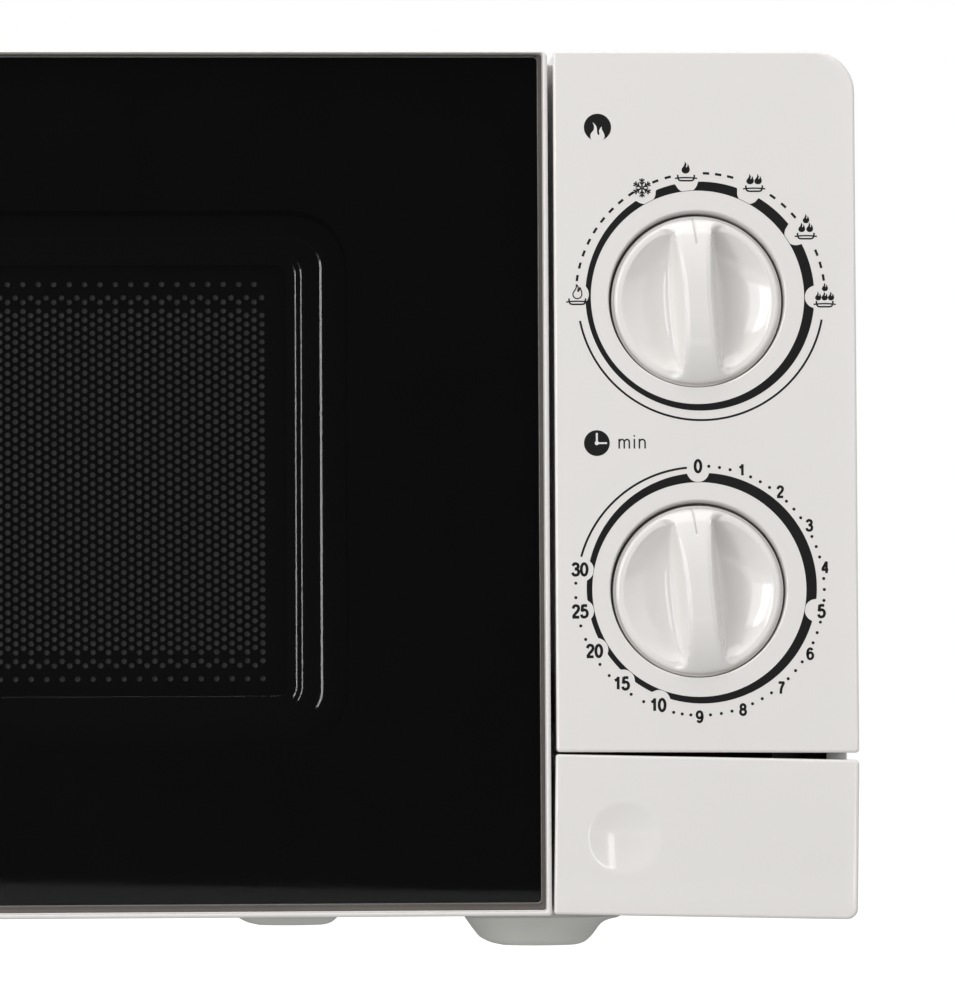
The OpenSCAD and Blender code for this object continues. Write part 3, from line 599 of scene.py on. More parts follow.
def glass_mask():
    """The black print on the back of the glass, open in front of the window."""
    shape = Shape()
    near, far = GLASS_HIGH.y - PRINT_FILM + 0.02, GLASS_HIGH.y - 0.02
    outer = rounded(glass_corners(-0.3))
    inner = rounded(window_corners(-7))
    edges = ((outer, near), (inner, near), (inner, far), (outer, far))
    rows = [shape.flat(outline, y) for outline, y in edges]
    shape.skin(rows, closed=True)
    piece("glass_mask", shape, "door", "front_glass", material=mask_black)
    # The strip in the groove round the glass is painted shade. It is a brown piece put where the frame's inner
    # wall lies in shade, and it also hides the white ledge behind the glass.
    groove_shade = Shape()
    wall = rounded(frame_corners(1.72, 1.72, 1.62, 0.77, 0.8))
    near, far = GLASS_LOW.y + 1.0, GLASS_HIGH.y - 0.02

    def below(drop):
        return rounded([(x, z - drop if z < GLASS_LOW.z + 5 else z, r) for x, z, r in glass_corners(0.02)])

    levels = [(1.3, near), (0.9, near + 0.05), (0.75, near + 0.6), (0, near + 0.6), (0, far)]
    rows = [groove_shade.flat(wall, near + 0.3)] + [groove_shade.flat(below(drop), y) for drop, y in levels]
    rows.append(groove_shade.flat(wall, far))
    groove_shade.skin(rows, closed=True)
    piece("glass_groove_painted_shade", groove_shade, "door", "black_plastic", material=painted_shade_brown)


def border_corners(right, low, high, radius):
    """A line of the window's border, alike on both sides of the door."""
    return rectangle(2 * DOOR_MID - right, low, right, high, radius)


def window_corners(inset):
    """The outer step of the window's border."""
    radius = max(8.8 - inset, 0.5)
    return border_corners(WINDOW_RIGHT - inset, WINDOW_LOW + inset, WINDOW_TOP - inset, radius)


def slanted(y, slope, width):
    """A straight slope of a given width across, from y backwards, as (inset, y) pairs."""
    return [(0, y), (width, y + width * math.tan(slope))]


def door_pan():
    """The enamelled steel pan: shallow steps round the recess that holds the screen."""
    shape = Shape()
    face = PAN_LOW.y
    recess_back = SCREEN_LOW.y
    outer = rectangle(PAN_LOW.x, PAN_LOW.z, PAN_HIGH.x, PAN_HIGH.z, 4)
    bead = border_corners(WINDOW_RIGHT - 5.8, WINDOW_LOW + 2.7, WINDOW_TOP - 3.4, 7.4)
    steps = 14
    rim = [(SHEET, PAN_HIGH.y), (0, PAN_HIGH.y)] + quarter(1.2, face + 1.2, 1.2, 0, 90)
    outside = shape.sweep(outer, rim, steps)
    # Flat-sided steps, all of one slope
    slope = math.radians(STEP_SLOPE)
    outer_step = slanted(face, slope, 0.6)
    step_loops = shape.sweep(window_corners(0), outer_step, steps)
    shape.fill(outside[-1], step_loops[0])
    profile = slanted(outer_step[-1][1], slope, 0.3)
    second = slanted(profile[-1][1] + 0.02, slope, 0.32)
    profile += [(1.62 + inset, y) for inset, y in second]
    profile += [(4.4, profile[-1][1] + 0.02), (4.6, profile[-1][1] + 0.3), (4.7, recess_back)]
    inner_step = shape.sweep(bead, profile, steps)
    shape.fill(step_loops[-1], inner_step[0])
    # Back of the sheet
    inner = shape.sweep(bead, [(4.7 - SHEET, recess_back), (2.6, face + 3.2)], steps)
    shape.skin([inner_step[-1], inner[0]])
    back = shape.sweep(outer, [(SHEET, PAN_HIGH.y), (SHEET, face + 1.6)], steps)
    shape.fill(back[1], inner[1])
    shape.skin([outside[0], back[0]])
    bmesh.ops.remove_doubles(shape.mesh, verts=shape.mesh.verts, dist=1e-7)
    piece("pressed_door_pan", shape, "door", "black_enamel", ["door_pan"], sharp=20)


def window_screen():
    """The perforated screen: staggered columns of round holes, the second hole from each end left out."""
    shape = Shape()
    pitch = 2.56
    column = 2.222
    hole_r = 0.8
    sides = 12
    columns = 86
    holes = 44
    right = 49.41
    low = 78.34
    near, far = SCREEN_LOW.y, SCREEN_HIGH.y
    grids = ({}, {})

    def corner(side, b, j):
        if (b, j) not in grids[side]:
            x = right + column / 2 - b * column
            grids[side][b, j] = shape.loop([(x, (near, far)[side], low + j * pitch / 2)])[0]
        return grids[side][b, j]

    for c in range(columns):
        shift = 0 if c % 2 == 0 else 3
        for k in range(holes):
            j = 2 * k + shift
            cell = [
                [corner(side, b, i) for b, i in
                 ((c, j), (c, j + 1), (c + 1, j + 1), (c + 1, j), (c + 1, j - 1), (c, j - 1))]
                for side in (0, 1)
            ]
            if k in (1, holes - 2):
                for outline in cell:
                    shape.fill(outline)
                continue
            ring = circle(right - c * column, low + j * pitch / 2, hole_r, sides)
            rings = [shape.flat(ring, near), shape.flat(ring, far)]
            shape.skin(rings)
            for outline, hole in zip(cell, rings):
                for i in range(6):
                    a, b = outline[i], outline[(i + 1) % 6]
                    shape.mesh.faces.new((a, b, hole[(2 * i + 2) % sides], hole[2 * i + 1], hole[2 * i]))
    edge = rectangle(SCREEN_LOW.x, SCREEN_LOW.z, SCREEN_HIGH.x, SCREEN_HIGH.z, 7)
    for side, y in ((0, near), (1, far)):
        open_edges = [e for e in shape.mesh.edges if len(e.link_faces) == 1]
        ragged = [e for e in open_edges if abs(e.verts[0].co.y - y * MM) < 1e-7]
        outline = shape.flat(rounded(edge), y)
        ring = [shape.mesh.edges.new((outline[i - 1], outline[i])) for i in range(len(outline))]
        bmesh.ops.triangle_fill(shape.mesh, use_beauty=True, use_dissolve=False, edges=ragged + ring)
        if side == 0:
            first = outline
        else:
            shape.skin([first, outline])
    piece("perforated_screen", shape, "door", "black_enamel", ["window_screen"], sharp=30)


# ---- Control panel ----


def panel_corners():
    """The panel's face, its lower edge a little out of level."""
    return [
        (PANEL_EDGE, 56.7, 1.0),
        (PANEL_HIGH.x, 56.1, 1.2),
        (PANEL_HIGH.x, PANEL_HIGH.z, CORNER_R),
        (PANEL_EDGE, PANEL_HIGH.z, 1.0),
    ]


def control_panel():
    """The white panel: rounded edges, two wells with soft lips and the guide behind the release button."""
    shape = Shape()
    well_lip = 0.5
    back = FRONT + PANEL_WALL
    outline = panel_corners()
    outside = shape.sweep(outline, [(0, PLATE_FRONT)] + quarter(LIP, FRONT + LIP, LIP, 0, 90, 6), 12)
    inside = shape.sweep(outline, [(PANEL_WALL, PLATE_FRONT), (PANEL_WALL, back)], 12)
    shape.skin([outside[0], inside[0]])
    mouths, cups = [], []
    for dial in (POWER_DIAL, TIMER_DIAL):
        mouth = WELL_R + 0.3
        lips = []
        for a in range(0, 91, 15):
            out, down = 1 - math.sin(math.radians(a)), 1 - math.cos(math.radians(a))
            lips.append((mouth + well_lip * out, FRONT + well_lip * down, 0.35))
        profile = lips + [
            (WELL_R - 0.1, FRONT + 2.6, 0),
            (WELL_R - 0.1, FRONT + WELL_DEPTH - 0.4, 0),
            (WELL_R - 0.5, FRONT + WELL_DEPTH, 0),
            (SHAFT_HOLE_R, FRONT + WELL_DEPTH, 0),
            (SHAFT_HOLE_R, FRONT + WELL_DEPTH + PANEL_WALL, 0),
            (WELL_R + PANEL_WALL, FRONT + WELL_DEPTH + PANEL_WALL, 0),
            (WELL_R + PANEL_WALL, back, 0),
        ]
        loops = [shape.flat(circle(dial.x, dial.z + rise, r, 128), y) for r, y, rise in profile]
        shape.skin(loops)
        mouths.append(loops[0])
        cups.append(loops[-1])
    shape.fill(outside[-1], *mouths)
    shape.fill(inside[-1], *cups)
    # Flange and guide tube of the release button
    flange = PLATE_FRONT - 3
    guide = rectangle(GUIDE_LEFT, GUIDE_LOW, GUIDE_RIGHT, GUIDE_TOP, 2)
    flange_edge = rectangle(PANEL_LOW.x, DOOR_LOW.z, PANEL_HIGH.x, 54.0, 0.6)
    loops = [
        shape.flat(rounded(guide, PANEL_WALL), PLATE_FRONT - 0.02),
        shape.flat(rounded(flange_edge), PLATE_FRONT - 0.02),
        shape.flat(rounded(flange_edge), flange),
        shape.flat(rounded(guide), flange),
        shape.flat(rounded(guide), FRONT + 12),
        shape.flat(rounded(guide, PANEL_WALL), FRONT + 12),
    ]
    shape.skin(loops, closed=True)
    spring_low, spring_high = box("button_spring")
    spring_x = (spring_low.x + spring_high.x) / 2
    shape.block((spring_x - 9, flange, 14.5), (spring_x + 9, PLATE_FRONT - 0.05, 50.5), 0.3)
    piece("moulded_control_panel", shape, "cabinet", "white_plastic", ["control_panel"])


# ---- Knobs ----


def smooth(t):
    t = min(max(t, 0.0), 1.0)
    return t * t * (3 - 2 * t)


def knob_height(u, v):
    """How far a knob's face stands out at a point across (u) and along (v) its grip."""
    a = abs(u)
    r = math.hypot(u, v)
    reach = math.hypot(v, 0.5 * u) / 23.6
    crest = 6.0 * max(1 - reach ** 2.6, 0.0) ** 0.8
    limit = 19.5
    if abs(v) < limit:
        bowl = -4.2 * (1 - abs(v / limit) ** 3.2) ** 0.8
    else:
        bowl = 0.0
    ridge = 3.6 + 1.5 * (v / GRIP_HALF) ** 2
    foot = 7.8 - 1.6 * (v / GRIP_HALF) ** 2
    edge = math.sqrt(max(SCOOP_R ** 2 - v * v, 0.0))
    if abs(v) >= limit:
        ridge, foot, edge = 5.1, 6.1 + 8 * (abs(v) - limit) / 4, 0.0
    if a <= ridge:
        height = crest - 0.35 * smooth((a - ridge + 1.2) / 1.2) * (crest / 6.0)
    elif a <= foot:
        t = (a - ridge) / (foot - ridge)
        top = crest - 0.35 * (crest / 6.0)
        height = top + (bowl - top) * smooth(t ** 0.9)
    elif a < edge:
        t = (a - foot) / (edge - foot)
        height = bowl * (1 - t * t)
    else:
        height = 0.0
    rim = 1.1
    fall = max(r - (KNOB_R - rim), 0.0) / rim
    height = min(height, crest + 0.25) if a <= foot else height
    return height - rim * (1 - math.sqrt(max(1 - min(fall, 1.0) ** 2, 0.0)))


def groove_depth(u, v):
    """The pointer line cut near the top of the grip."""
    start, end = Vector((0.3, 24.2)), Vector((0.8, 16.4))
    along = end - start
    t = (Vector((u, v)) - start).dot(along) / along.length_squared
    away = (Vector((u, v)) - (start + along * min(max(t, 0.0), 1.0))).length
    half = POINTER_WIDTH / 2
    return 0.75 * max(1 - (away / half) ** 2, 0.0) if away < half else 0.0


def knob(name, dial, lean, body, node):
    """A one-piece knob: skirt, waisted grip, two scoops and a pointer line."""
    shape = Shape()
    angles = [math.radians(1.5 * k) for k in range(240)]
    fine = [math.radians(84 + 0.25 * k) for k in range(61)]
    angles = sorted({round(a, 6) for a in angles + fine})
    radii = [KNOB_R * (k / 84) for k in range(1, 81)]
    radii += [KNOB_R * (1 - 0.5 * ((1 - k / 8) ** 2) * 0.095) for k in range(1, 9)]
    radii = sorted(set(radii))

    def point(r, a, y, sag=KNOB_SAG):
        x, z = turned(r * math.cos(a), r * math.sin(a), lean)
        return dial.x + x, y, dial.z + z - sag

    def face(r, a):
        u, v = r * math.cos(a), r * math.sin(a)
        return FRONT - knob_height(u, v) + groove_depth(u, v)

    middle = shape.loop([(dial.x, face(0, 0), dial.z - KNOB_SAG)])[0]
    loops = [shape.loop([point(r, a, face(r, a)) for a in angles]) for r in radii]
    for i in range(len(angles)):
        shape.mesh.faces.new((middle, loops[0][i - 1], loops[0][i]))
    back = FRONT + 9
    for r, y in (
        (KNOB_R, FRONT + 1.8), (KNOB_R + 0.1, FRONT + 1.95), (KNOB_R + 0.75, FRONT + 2.05),
        (KNOB_R + 0.8, back - 0.4), (KNOB_R + 0.4, back), (KNOB_R - 2, back),
        (KNOB_R - 2.1, FRONT + 6.5), (5.6, FRONT + 6.5), (5.5, back), (3.05, back), (3.05, FRONT + 4.6),
    ):
        loops.append(shape.loop([point(r, a, y, KNOB_SAG if r > 6 else 0) for a in angles]))
    shape.skin(loops)
    shape.fill(loops[-1])
    piece(name, shape, body, "white_plastic", [node], sharp=50)


# ---- Print on the panel ----


def polar(dial, degrees, radius):
    """A point round a dial; degrees are clockwise from the top."""
    a = math.radians(degrees)
    return dial.x + radius * math.sin(a), dial.z + radius * math.cos(a)


def print_ring(shape, dial, inner, outer, notches):
    """The solid ring round a dial, between two off-centre circles, with round notches in its outside."""
    steps = 720

    def reach(circle_x, circle_z, radius, a):
        direction = Vector((math.sin(a), math.cos(a)))
        to_centre = Vector((circle_x, circle_z))
        along = direction.dot(to_centre)
        inside = radius ** 2 - (to_centre.length_squared - along ** 2)
        return (along - math.sqrt(inside), along + math.sqrt(inside)) if inside > 0 else None

    rows = [[], [], [], []]
    for k in range(steps):
        a = 2 * math.pi * k / steps
        low = reach(*inner, a)[1]
        high = reach(*outer, a)[1]
        for notch_x, notch_z, notch_r in notches:
            cut = reach(notch_x, notch_z, notch_r, a)
            if cut and cut[0] > 0:
                high = min(high, cut[0])
        high = max(high, low + 0.12)
        corners = ((low, PRINT_FRONT), (high, PRINT_FRONT), (high, PRINT_BACK), (low, PRINT_BACK))
        for row, (radius, y) in zip(rows, corners):
            row.append((dial.x + radius * math.sin(a), y, dial.z + radius * math.cos(a)))
    shape.skin([shape.loop(row) for row in rows], closed=True)


def print_line(shape, points, width, lift=0.0):
    """A printed line. Lines that cross are lifted by different amounts."""
    shape.stroke(points, width, PRINT_FRONT - lift, PRINT_BACK)


def print_area(shape, outline, lift=0.0):
    """A printed area inside an outline."""
    shape.slab(outline, PRINT_FRONT - lift, PRINT_BACK)


def print_arc(shape, dial, first, last, radius, width, aside=0.0, above=0.0):
    """An arc line round a dial, from first to last degrees, its centre a little aside and above."""
    count = max(int(abs(last - first) / 2), 2)
    points = []
    for k in range(count + 1):
        bearing = first + (last - first) * k / count
        a = math.radians(bearing)
        points.append(polar(dial, bearing, radius + aside * math.sin(a) + above * math.cos(a)))
    print_line(shape, points, width)


def curved(points, closed=True, steps=4):
    """A smooth line through points."""
    made = []
    count = len(points)
    last = count if closed else count - 1
    for i in range(last):
        near = [i + k for k in (-1, 0, 1, 2)]
        p = [Vector(points[k % count if closed else min(max(k, 0), count - 1)]) for k in near]
        for s in range(steps):
            t = s / steps
            made.append(tuple(
                0.5 * (2 * p[1] + (p[2] - p[0]) * t + (2 * p[0] - 5 * p[1] + 4 * p[2] - p[3]) * t * t
                       + (3 * p[1] - p[0] - 3 * p[2] + p[3]) * t ** 3)
            ))
    if not closed:
        made.append(tuple(points[-1]))
    return made


def oval(x, z, half_wide, half_high):
    """A closed oval as stroke points."""
    ring = [(x + half_wide * px, z + half_high * pz) for px, pz in circle(0, 0, 1, 28)]
    return ring + ring[:2]


SIX = [(0.49, 0.84), (0.41, 0.96), (0.28, 1.0), (0.12, 0.90)]
SIX += [(0.03, 0.64), (0.03, 0.34), (0.12, 0.07), (0.29, 0.0)]
SIX += [(0.47, 0.09), (0.55, 0.32), (0.47, 0.54), (0.30, 0.62), (0.12, 0.53), (0.05, 0.36)]

TWO = [(0.05, 0.74), (0.12, 0.93), (0.28, 1.0), (0.47, 0.93), (0.53, 0.75), (0.44, 0.53)]
TWO += [(0.22, 0.28), (0.06, 0.03)]
THREE_TOP = [(0.05, 0.80), (0.13, 0.95), (0.28, 1.0), (0.45, 0.93), (0.51, 0.77), (0.43, 0.60), (0.22, 0.54)]
THREE_FOOT = [(0.22, 0.54), (0.45, 0.48), (0.55, 0.28), (0.47, 0.07), (0.27, 0.0)]
THREE_FOOT += [(0.10, 0.06), (0.02, 0.23)]
FIVE = [(0.07, 0.53), (0.25, 0.63), (0.45, 0.56), (0.54, 0.33), (0.46, 0.09), (0.26, 0.0)]
FIVE += [(0.09, 0.06), (0.02, 0.23)]

# Strokes of each figure in a box 0.57 wide and 1 high, and whether they are smoothed
FIGURES = {
    "0": [(oval(0.285, 0.5, 0.255, 0.5), False)],
    "1": [([(0.38, 0.0), (0.38, 1.08)], False), ([(0.38, 0.95), (0.26, 0.83), (0.09, 0.75)], True)],
    "2": [
        (TWO, True),
        ([(-0.02, 0.0), (0.58, 0.0)], False),
    ],
    "3": [
        (THREE_TOP, True),
        (THREE_FOOT, True),
    ],
    "4": [
        ([(0.43, -0.08), (0.43, 1.06)], False),
        ([(0.41, 1.0), (0.03, 0.29)], False),
        ([(-0.04, 0.26), (0.60, 0.26)], False),
    ],
    "5": [
        ([(0.52, 1.0), (0.12, 1.0)], False),
        ([(0.13, 1.06), (0.07, 0.48)], False),
        (FIVE, True),
    ],
    "6": [(SIX, True)],
    "7": [
        ([(0.0, 1.0), (0.58, 1.0)], False),
        ([(0.53, 1.0), (0.36, 0.68), (0.25, 0.35), (0.21, -0.08)], True),
    ],
    "8": [(oval(0.285, 0.76, 0.215, 0.24), False), (oval(0.285, 0.27, 0.26, 0.27), False)],
    "9": [([(0.57 - px, 1 - pz) for px, pz in SIX], True)],
    "m": [
        ([(0.06, -0.06), (0.06, 0.72)], False),
        ([(0.06, 0.50), (0.16, 0.64), (0.28, 0.67), (0.38, 0.58), (0.40, 0.44), (0.40, -0.06)], True),
        ([(0.40, 0.50), (0.50, 0.64), (0.62, 0.67), (0.72, 0.58), (0.74, 0.44), (0.74, -0.06)], True),
    ],
    "i": [([(0.06, -0.06), (0.06, 0.72)], False), ([(0.06, 0.90), (0.06, 1.03)], False)],
    "n": [
        ([(0.06, -0.06), (0.06, 0.72)], False),
        ([(0.06, 0.50), (0.16, 0.64), (0.29, 0.67), (0.41, 0.58), (0.44, 0.42), (0.44, -0.06)], True),
    ],
}
ADVANCE = {"m": 1.02, "i": 0.34, "n": 0.57}


def print_text(shape, text, x, z, height, line, narrow=1.0):
    """Figures drawn as strokes of an even width, their box centred on a point."""
    scale = height - line
    widths = [ADVANCE.get(letter, 0.74) for letter in text]
    start = x - (sum(widths) - 0.17) * scale * narrow / 2
    lift = 0.0
    for letter, width in zip(text, widths):
        for points, smoothed in FIGURES[letter]:
            path = curved(points, False, 5) if smoothed else points
            drawn = [(start + px * scale * narrow, z + (pz - 0.5) * scale) for px, pz in path]
            print_line(shape, drawn, line, lift)
            lift += 0.001
        start += width * scale * narrow


FLAME = [
    (-0.14, 1.0), (0.06, 0.74), (0.13, 0.44), (0.06, 0.16), (0.10, 0.0), (0.22, 0.12), (0.30, 0.34),
    (0.36, 0.58),
    (0.50, 0.24), (0.60, -0.12), (0.62, -0.46), (0.46, -0.82), (0.14, -1.0), (-0.18, -1.0), (-0.48, -0.82),
    (-0.62, -0.48), (-0.56, -0.14), (-0.36, 0.16), (-0.20, 0.46), (-0.14, 0.74),
]


# Two tongues of flame that join at the foot, in mm from the disc's centre
TWIN_FLAME = [
    (-1.35, 1.43), (-0.57, 0.63), (-0.2, -0.23), (-0.14, -1.23), (0.0, -1.95), (0.34, -2.24), (0.57, -1.8),
    (0.43, -1.09), (0.72, -0.37), (1.2, 0.2), (1.23, -0.52), (1.58, -1.23), (1.95, -2.1), (2.0, -2.8),
    (1.72, -3.44),
    (1.2, -3.9), (0.0, -4.1), (-1.2, -3.9), (-1.72, -3.5), (-2.0, -2.95), (-2.0, -2.1), (-1.72, -1.52),
    (-1.23, -0.95), (-1.0, -0.37), (-1.0, 0.34), (-1.15, 0.92),
]


def print_flame(shape, x, z, width, height, hollow=False):
    """A two-tongued flame, filled or in outline."""
    outline = [(x + px * width / 1.22, z + pz * height / 2) for px, pz in curved(FLAME)]
    if hollow:
        print_line(shape, outline + outline[:1], 0.34)
    else:
        print_area(shape, outline)


def print_dish(shape, x, z):
    """A shallow dish: a dished base and a longer line across its rim."""
    bowl = [(-2.4, 1.0), (-2.3, 0.2), (-1.85, -0.6), (0, -0.68), (1.85, -0.6), (2.3, 0.2), (2.4, 1.0)]
    rim = [(-3.2, -0.02), (-1.6, 0.14), (0, 0.2), (1.6, 0.14), (3.2, -0.02)]
    for points, width, lift in ((bowl, 0.46, 0.0), (rim, 0.4, 0.004)):
        print_line(shape, [(x + px, z + pz) for px, pz in curved(points, False)], width, lift)


def print_snowflake(shape, x, z, radius):
    """Six arms, each with two pairs of side barbs."""
    for k in range(6):
        a = math.radians(60 * k + 30)

        def at(along, aside):
            across = along * math.cos(a) - aside * math.sin(a)
            return (x + across, z + along * math.sin(a) + aside * math.cos(a))

        lift = 0.002 * k
        print_line(shape, [at(0.1, 0), at(radius, 0)], 0.44, lift)
        for start in (0.38, 0.66):
            for side in (-1, 1):
                barb = [at(radius * start, 0), at(radius * (start + 0.24), side * radius * 0.26)]
                print_line(shape, barb, 0.4, lift + 0.001)


POWER_MARKS = [(-34.4, 1.7), (-15.6, 32.3), (-3.0, 36.6), (16.3, 33.5), (31.0, 20.6), (36.6, 0.9)]

# The marks with flames: number, shift aside and up, dish height, and each flame's place and size
HEAT_MARKS = [
    (0, 0.0, 0.0, -2.2, [(0.05, 0.8, 2.5, 4.0)]),
    (2, 0.1, 0.25, -1.8, [(-0.1, 1.3, 2.3, 3.4)]),
    (3, 0.4, 0.2, -1.7, [(side * 1.15, 1.1, 2.1, 2.9) for side in (-1, 1)]),
    (4, 0.5, -0.2, -2.1, [(0.1, 3.0, 1.8, 2.6)] + [(side * 1.15, 0.5, 1.9, 2.7) for side in (-1, 1)]),
    (5, 0.2, -0.1, -2.1, [(0.1, 2.9, 1.7, 2.4)] + [(side * 1.85, 0.3, 1.75, 2.5) for side in (-1, 0, 1)]),
]


def power_print():
    """Ring, dashes, arc and heat marks round the upper dial."""
    dial = POWER_DIAL
    shape = Shape()
    bearings = [math.degrees(math.atan2(x, z)) for x, z in POWER_MARKS]
    notches = [(34.4 * math.sin(math.radians(b)), 34.4 * math.cos(math.radians(b)), 3.3) for b in bearings]
    print_ring(shape, dial, (0.2, 0.8, 30.7), (0.9, 1.15, 32.95), notches)
    print_arc(shape, dial, 99, 260, 35.4, 0.6, 1.1, 0.9)
    half = 1.45
    groups = [(-79.5, -31.5, 9), (-19.0, -13.0, 2), (4.5, 15.5, 3), (36.5, 49.0, 3), (68.5, 80.0, 3)]
    for first, last, count in groups:
        for k in range(count):
            middle = first + (last - first) * k / (count - 1)
            print_arc(shape, dial, middle - half, middle + half, 35.9, 0.7, 1.05, 0.6)
    snow_x, snow_z = POWER_MARKS[1]
    print_snowflake(shape, dial.x + snow_x, dial.z + snow_z, 2.75)
    for mark, aside, above, dish, flames in HEAT_MARKS:
        x = dial.x + POWER_MARKS[mark][0] + aside
        z = dial.z + POWER_MARKS[mark][1] + above
        for dx, dz, width, height in flames:
            print_flame(shape, x + dx, z + dz, width, height, hollow=mark == 0)
        print_dish(shape, x, z + dish)
    piece("power_dial_print", shape, "cabinet", "black_plastic", material=ink)


def timer_print():
    """Ring, numbers, dots and arc round the lower dial."""
    dial = TIMER_DIAL
    shape = Shape()
    labels = [0, 1, 2, 3, 4, 5, 6, 7, 8, 9, 10, 15, 20, 25, 30]
    step = 20
    notches = []
    spots = []
    for i, label in enumerate(labels):
        bearing = i * step
        lean = math.sin(math.radians(bearing))
        radius = (35.2 if label % 5 == 0 else 36.3) + 0.6 * lean + (0.3 if label == 0 else 0)
        spots.append((bearing, radius))
        if label % 5 == 0:
            notch_r = 34.2 + (0 if lean > -0.2 else -0.35)
            a = math.radians(bearing)
            notches.append((notch_r * math.sin(a), notch_r * math.cos(a), 3.25))
    print_ring(shape, dial, (0.2, 0.15, 30.75), (0.9, 0.55, 33.05), notches)
    for (bearing, radius), label in zip(spots, labels):
        x, z = polar(dial, bearing, radius)
        large = label % 5 == 0
        print_text(shape, str(label), x, z, 4.15 if large else 3.7, 0.82 if large else 0.74)
    for i in range(len(labels) - 1):
        count = 3 if labels[i] < 10 else 2
        gap = 4.0 if labels[i] == 9 else step / (count + 1)
        for k in range(count):
            bearing = i * step + gap * (k + 1)
            radius = 35.72 + 0.37 * math.sin(math.radians(bearing)) - 0.15 * math.cos(math.radians(bearing))
            print_area(shape, circle(*polar(dial, bearing, radius), 0.45, 16))
    print_arc(shape, dial, -74, -5.2, 34.95, 0.62, 0.0, 0.25)
    piece("timer_dial_print", shape, "cabinet", "black_plastic", material=ink)


def disc_marks():
    """The flame disc, the clock disc and the unit label beside them."""
    dark = Shape()
    light = Shape()
    flame_x, flame_z = POWER_DIAL.x - 28.3, POWER_DIAL.z + 49.65
    clock_x, clock_z = TIMER_DIAL.x - 29.0, TIMER_DIAL.z + 42.2
    print_area(dark, circle(flame_x, flame_z + 0.1, 3.92, 64))
    print_area(dark, circle(clock_x, clock_z, 3.7, 64))
    print_text(dark, "min", TIMER_DIAL.x - 19.1, clock_z + 0.4, 4.0, 0.44, 1.2)
    print_area(light, [(flame_x + px, flame_z + 0.1 + pz) for px, pz in curved(TWIN_FLAME)], 0.02)
    print_line(light, [(clock_x, clock_z - 0.1), (clock_x, clock_z + 2.9)], 0.55, 0.02)
    print_line(light, [(clock_x - 0.1, clock_z), (clock_x + 2.9, clock_z - 0.02)], 0.5, 0.022)
    print_area(light, circle(clock_x, clock_z, 0.6, 24), 0.024)
    piece("disc_marks", dark, "cabinet", "black_plastic", material=ink)
    piece("disc_mark_details", light, "cabinet", "white_plastic")


# ---- Release button ----


def release_button():
    """The push button: a hollow white cap with a round thumb dimple, a rod and a spring post."""
    shape = Shape()
    node_low, node_high = box("release_button")
    low = Vector((PANEL_EDGE - 0.6, DOOR_LOW.z - 0.3))
    high = Vector((PANEL_HIGH.x - 0.36, 55.0))
    middle = (low + high) / 2
    rear = node_low.y + 24.6

    def skewed(outline):
        made = []
        for x, z in outline:
            dx, dz = turned(x - middle.x, z - middle.y, BUTTON_SKEW)
            made.append((middle.x + dx, middle.y + dz))
        return made

    corners = [(low.x, low.y, 0.9), (high.x, low.y - 0.6, 3.2)]
    corners += [(high.x, high.y - 0.25, 1.3), (low.x, high.y + 0.45, 0.9)]
    outside = [
        shape.flat(skewed(rounded(corners, inset, 8)), y)
        for inset, y in [(0, rear)] + quarter(LIP, FRONT + LIP, LIP, 0, 90, 6)
    ]
    shape.skin(outside)
    inside = [
        shape.flat(skewed(rounded(corners, BUTTON_WALL, 8)), y) for y in (rear, FRONT + BUTTON_WALL)
    ]
    shape.skin([outside[0], inside[0]])
    shape.skin(inside)
    shape.fill(inside[-1])
    dimple_x, dimple_z, dimple_r, dimple_deep = 152.5, 32.1, 10.3, 0.8
    ease = 0.09
    dish = []
    for k in range(28):
        t = 1 + ease - (1 + ease) * k / 28
        if t > 1 - ease:
            fall = (1 + ease - t) ** 2 * (1 - ease) / (2 * ease)
        else:
            fall = 2 * ease * (1 - ease) + (1 - ease) ** 2 - t * t
        dish.append(shape.flat(circle(dimple_x, dimple_z, dimple_r * t, 96), FRONT + dimple_deep * fall))
    shape.skin(dish)
    centre = shape.loop([(dimple_x, FRONT + dimple_deep * (1 - ease * ease), dimple_z)])[0]
    for i in range(96):
        shape.mesh.faces.new((dish[-1][i - 1], dish[-1][i], centre))
    shape.fill(outside[-1], dish[0])
    rod_left = node_low.x
    wall_back = FRONT + BUTTON_WALL - 0.1
    shape.block((rod_left + 8, wall_back, 33), (rod_left + 12, node_high.y, 37), 0.3)
    shape.block((rod_left, node_high.y - 4.2, 33.05), (rod_left + 11.9, node_high.y - 0.05, 36.95), 0.3)
    spring_low, spring_high = box("button_spring")
    spring_x, spring_z = (spring_low.x + spring_high.x) / 2, (spring_low.z + spring_high.z) / 2
    post = [(0, wall_back), (3, wall_back), (3, FRONT + 15.5), (2.5, FRONT + 16), (0, FRONT + 16)]
    shape.spin(about_y(spring_x, spring_z), post, 32)
    piece("push_button", shape, "release_button", "white_plastic", ["release_button"])


def coil(node, axis, wire, turns):
    """A spring of round wire that fills a CAD node's box, wound about Y (1) or Z (2)."""
    low, high = box(node)
    centre = (low + high) / 2
    radius = (high.x - low.x) / 2 - wire
    length = high[axis] - low[axis] - 2 * wire
    place = about_y(centre.x, centre.z) if axis == 1 else about_z(centre.x, centre.y)
    steps = 28
    shape = Shape()
    shape.tube([
        place(radius, 2 * math.pi * k / steps, low[axis] + wire + length * k / (turns * steps))
        for k in range(turns * steps + 1)
    ], wire)
    return shape


def springs():
    """The two coil springs, as round wire."""
    shape = coil("button_spring", 1, 0.6, 8)
    made = piece("button_return_spring", shape, "cabinet", "spring_steel", ["button_spring"])
    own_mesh(made)
    piece("latch_spring", coil("hook_spring", 2, 0.4, 12), "door", "spring_steel", ["hook_spring"])


# ---- Feet, screws and turntable ----


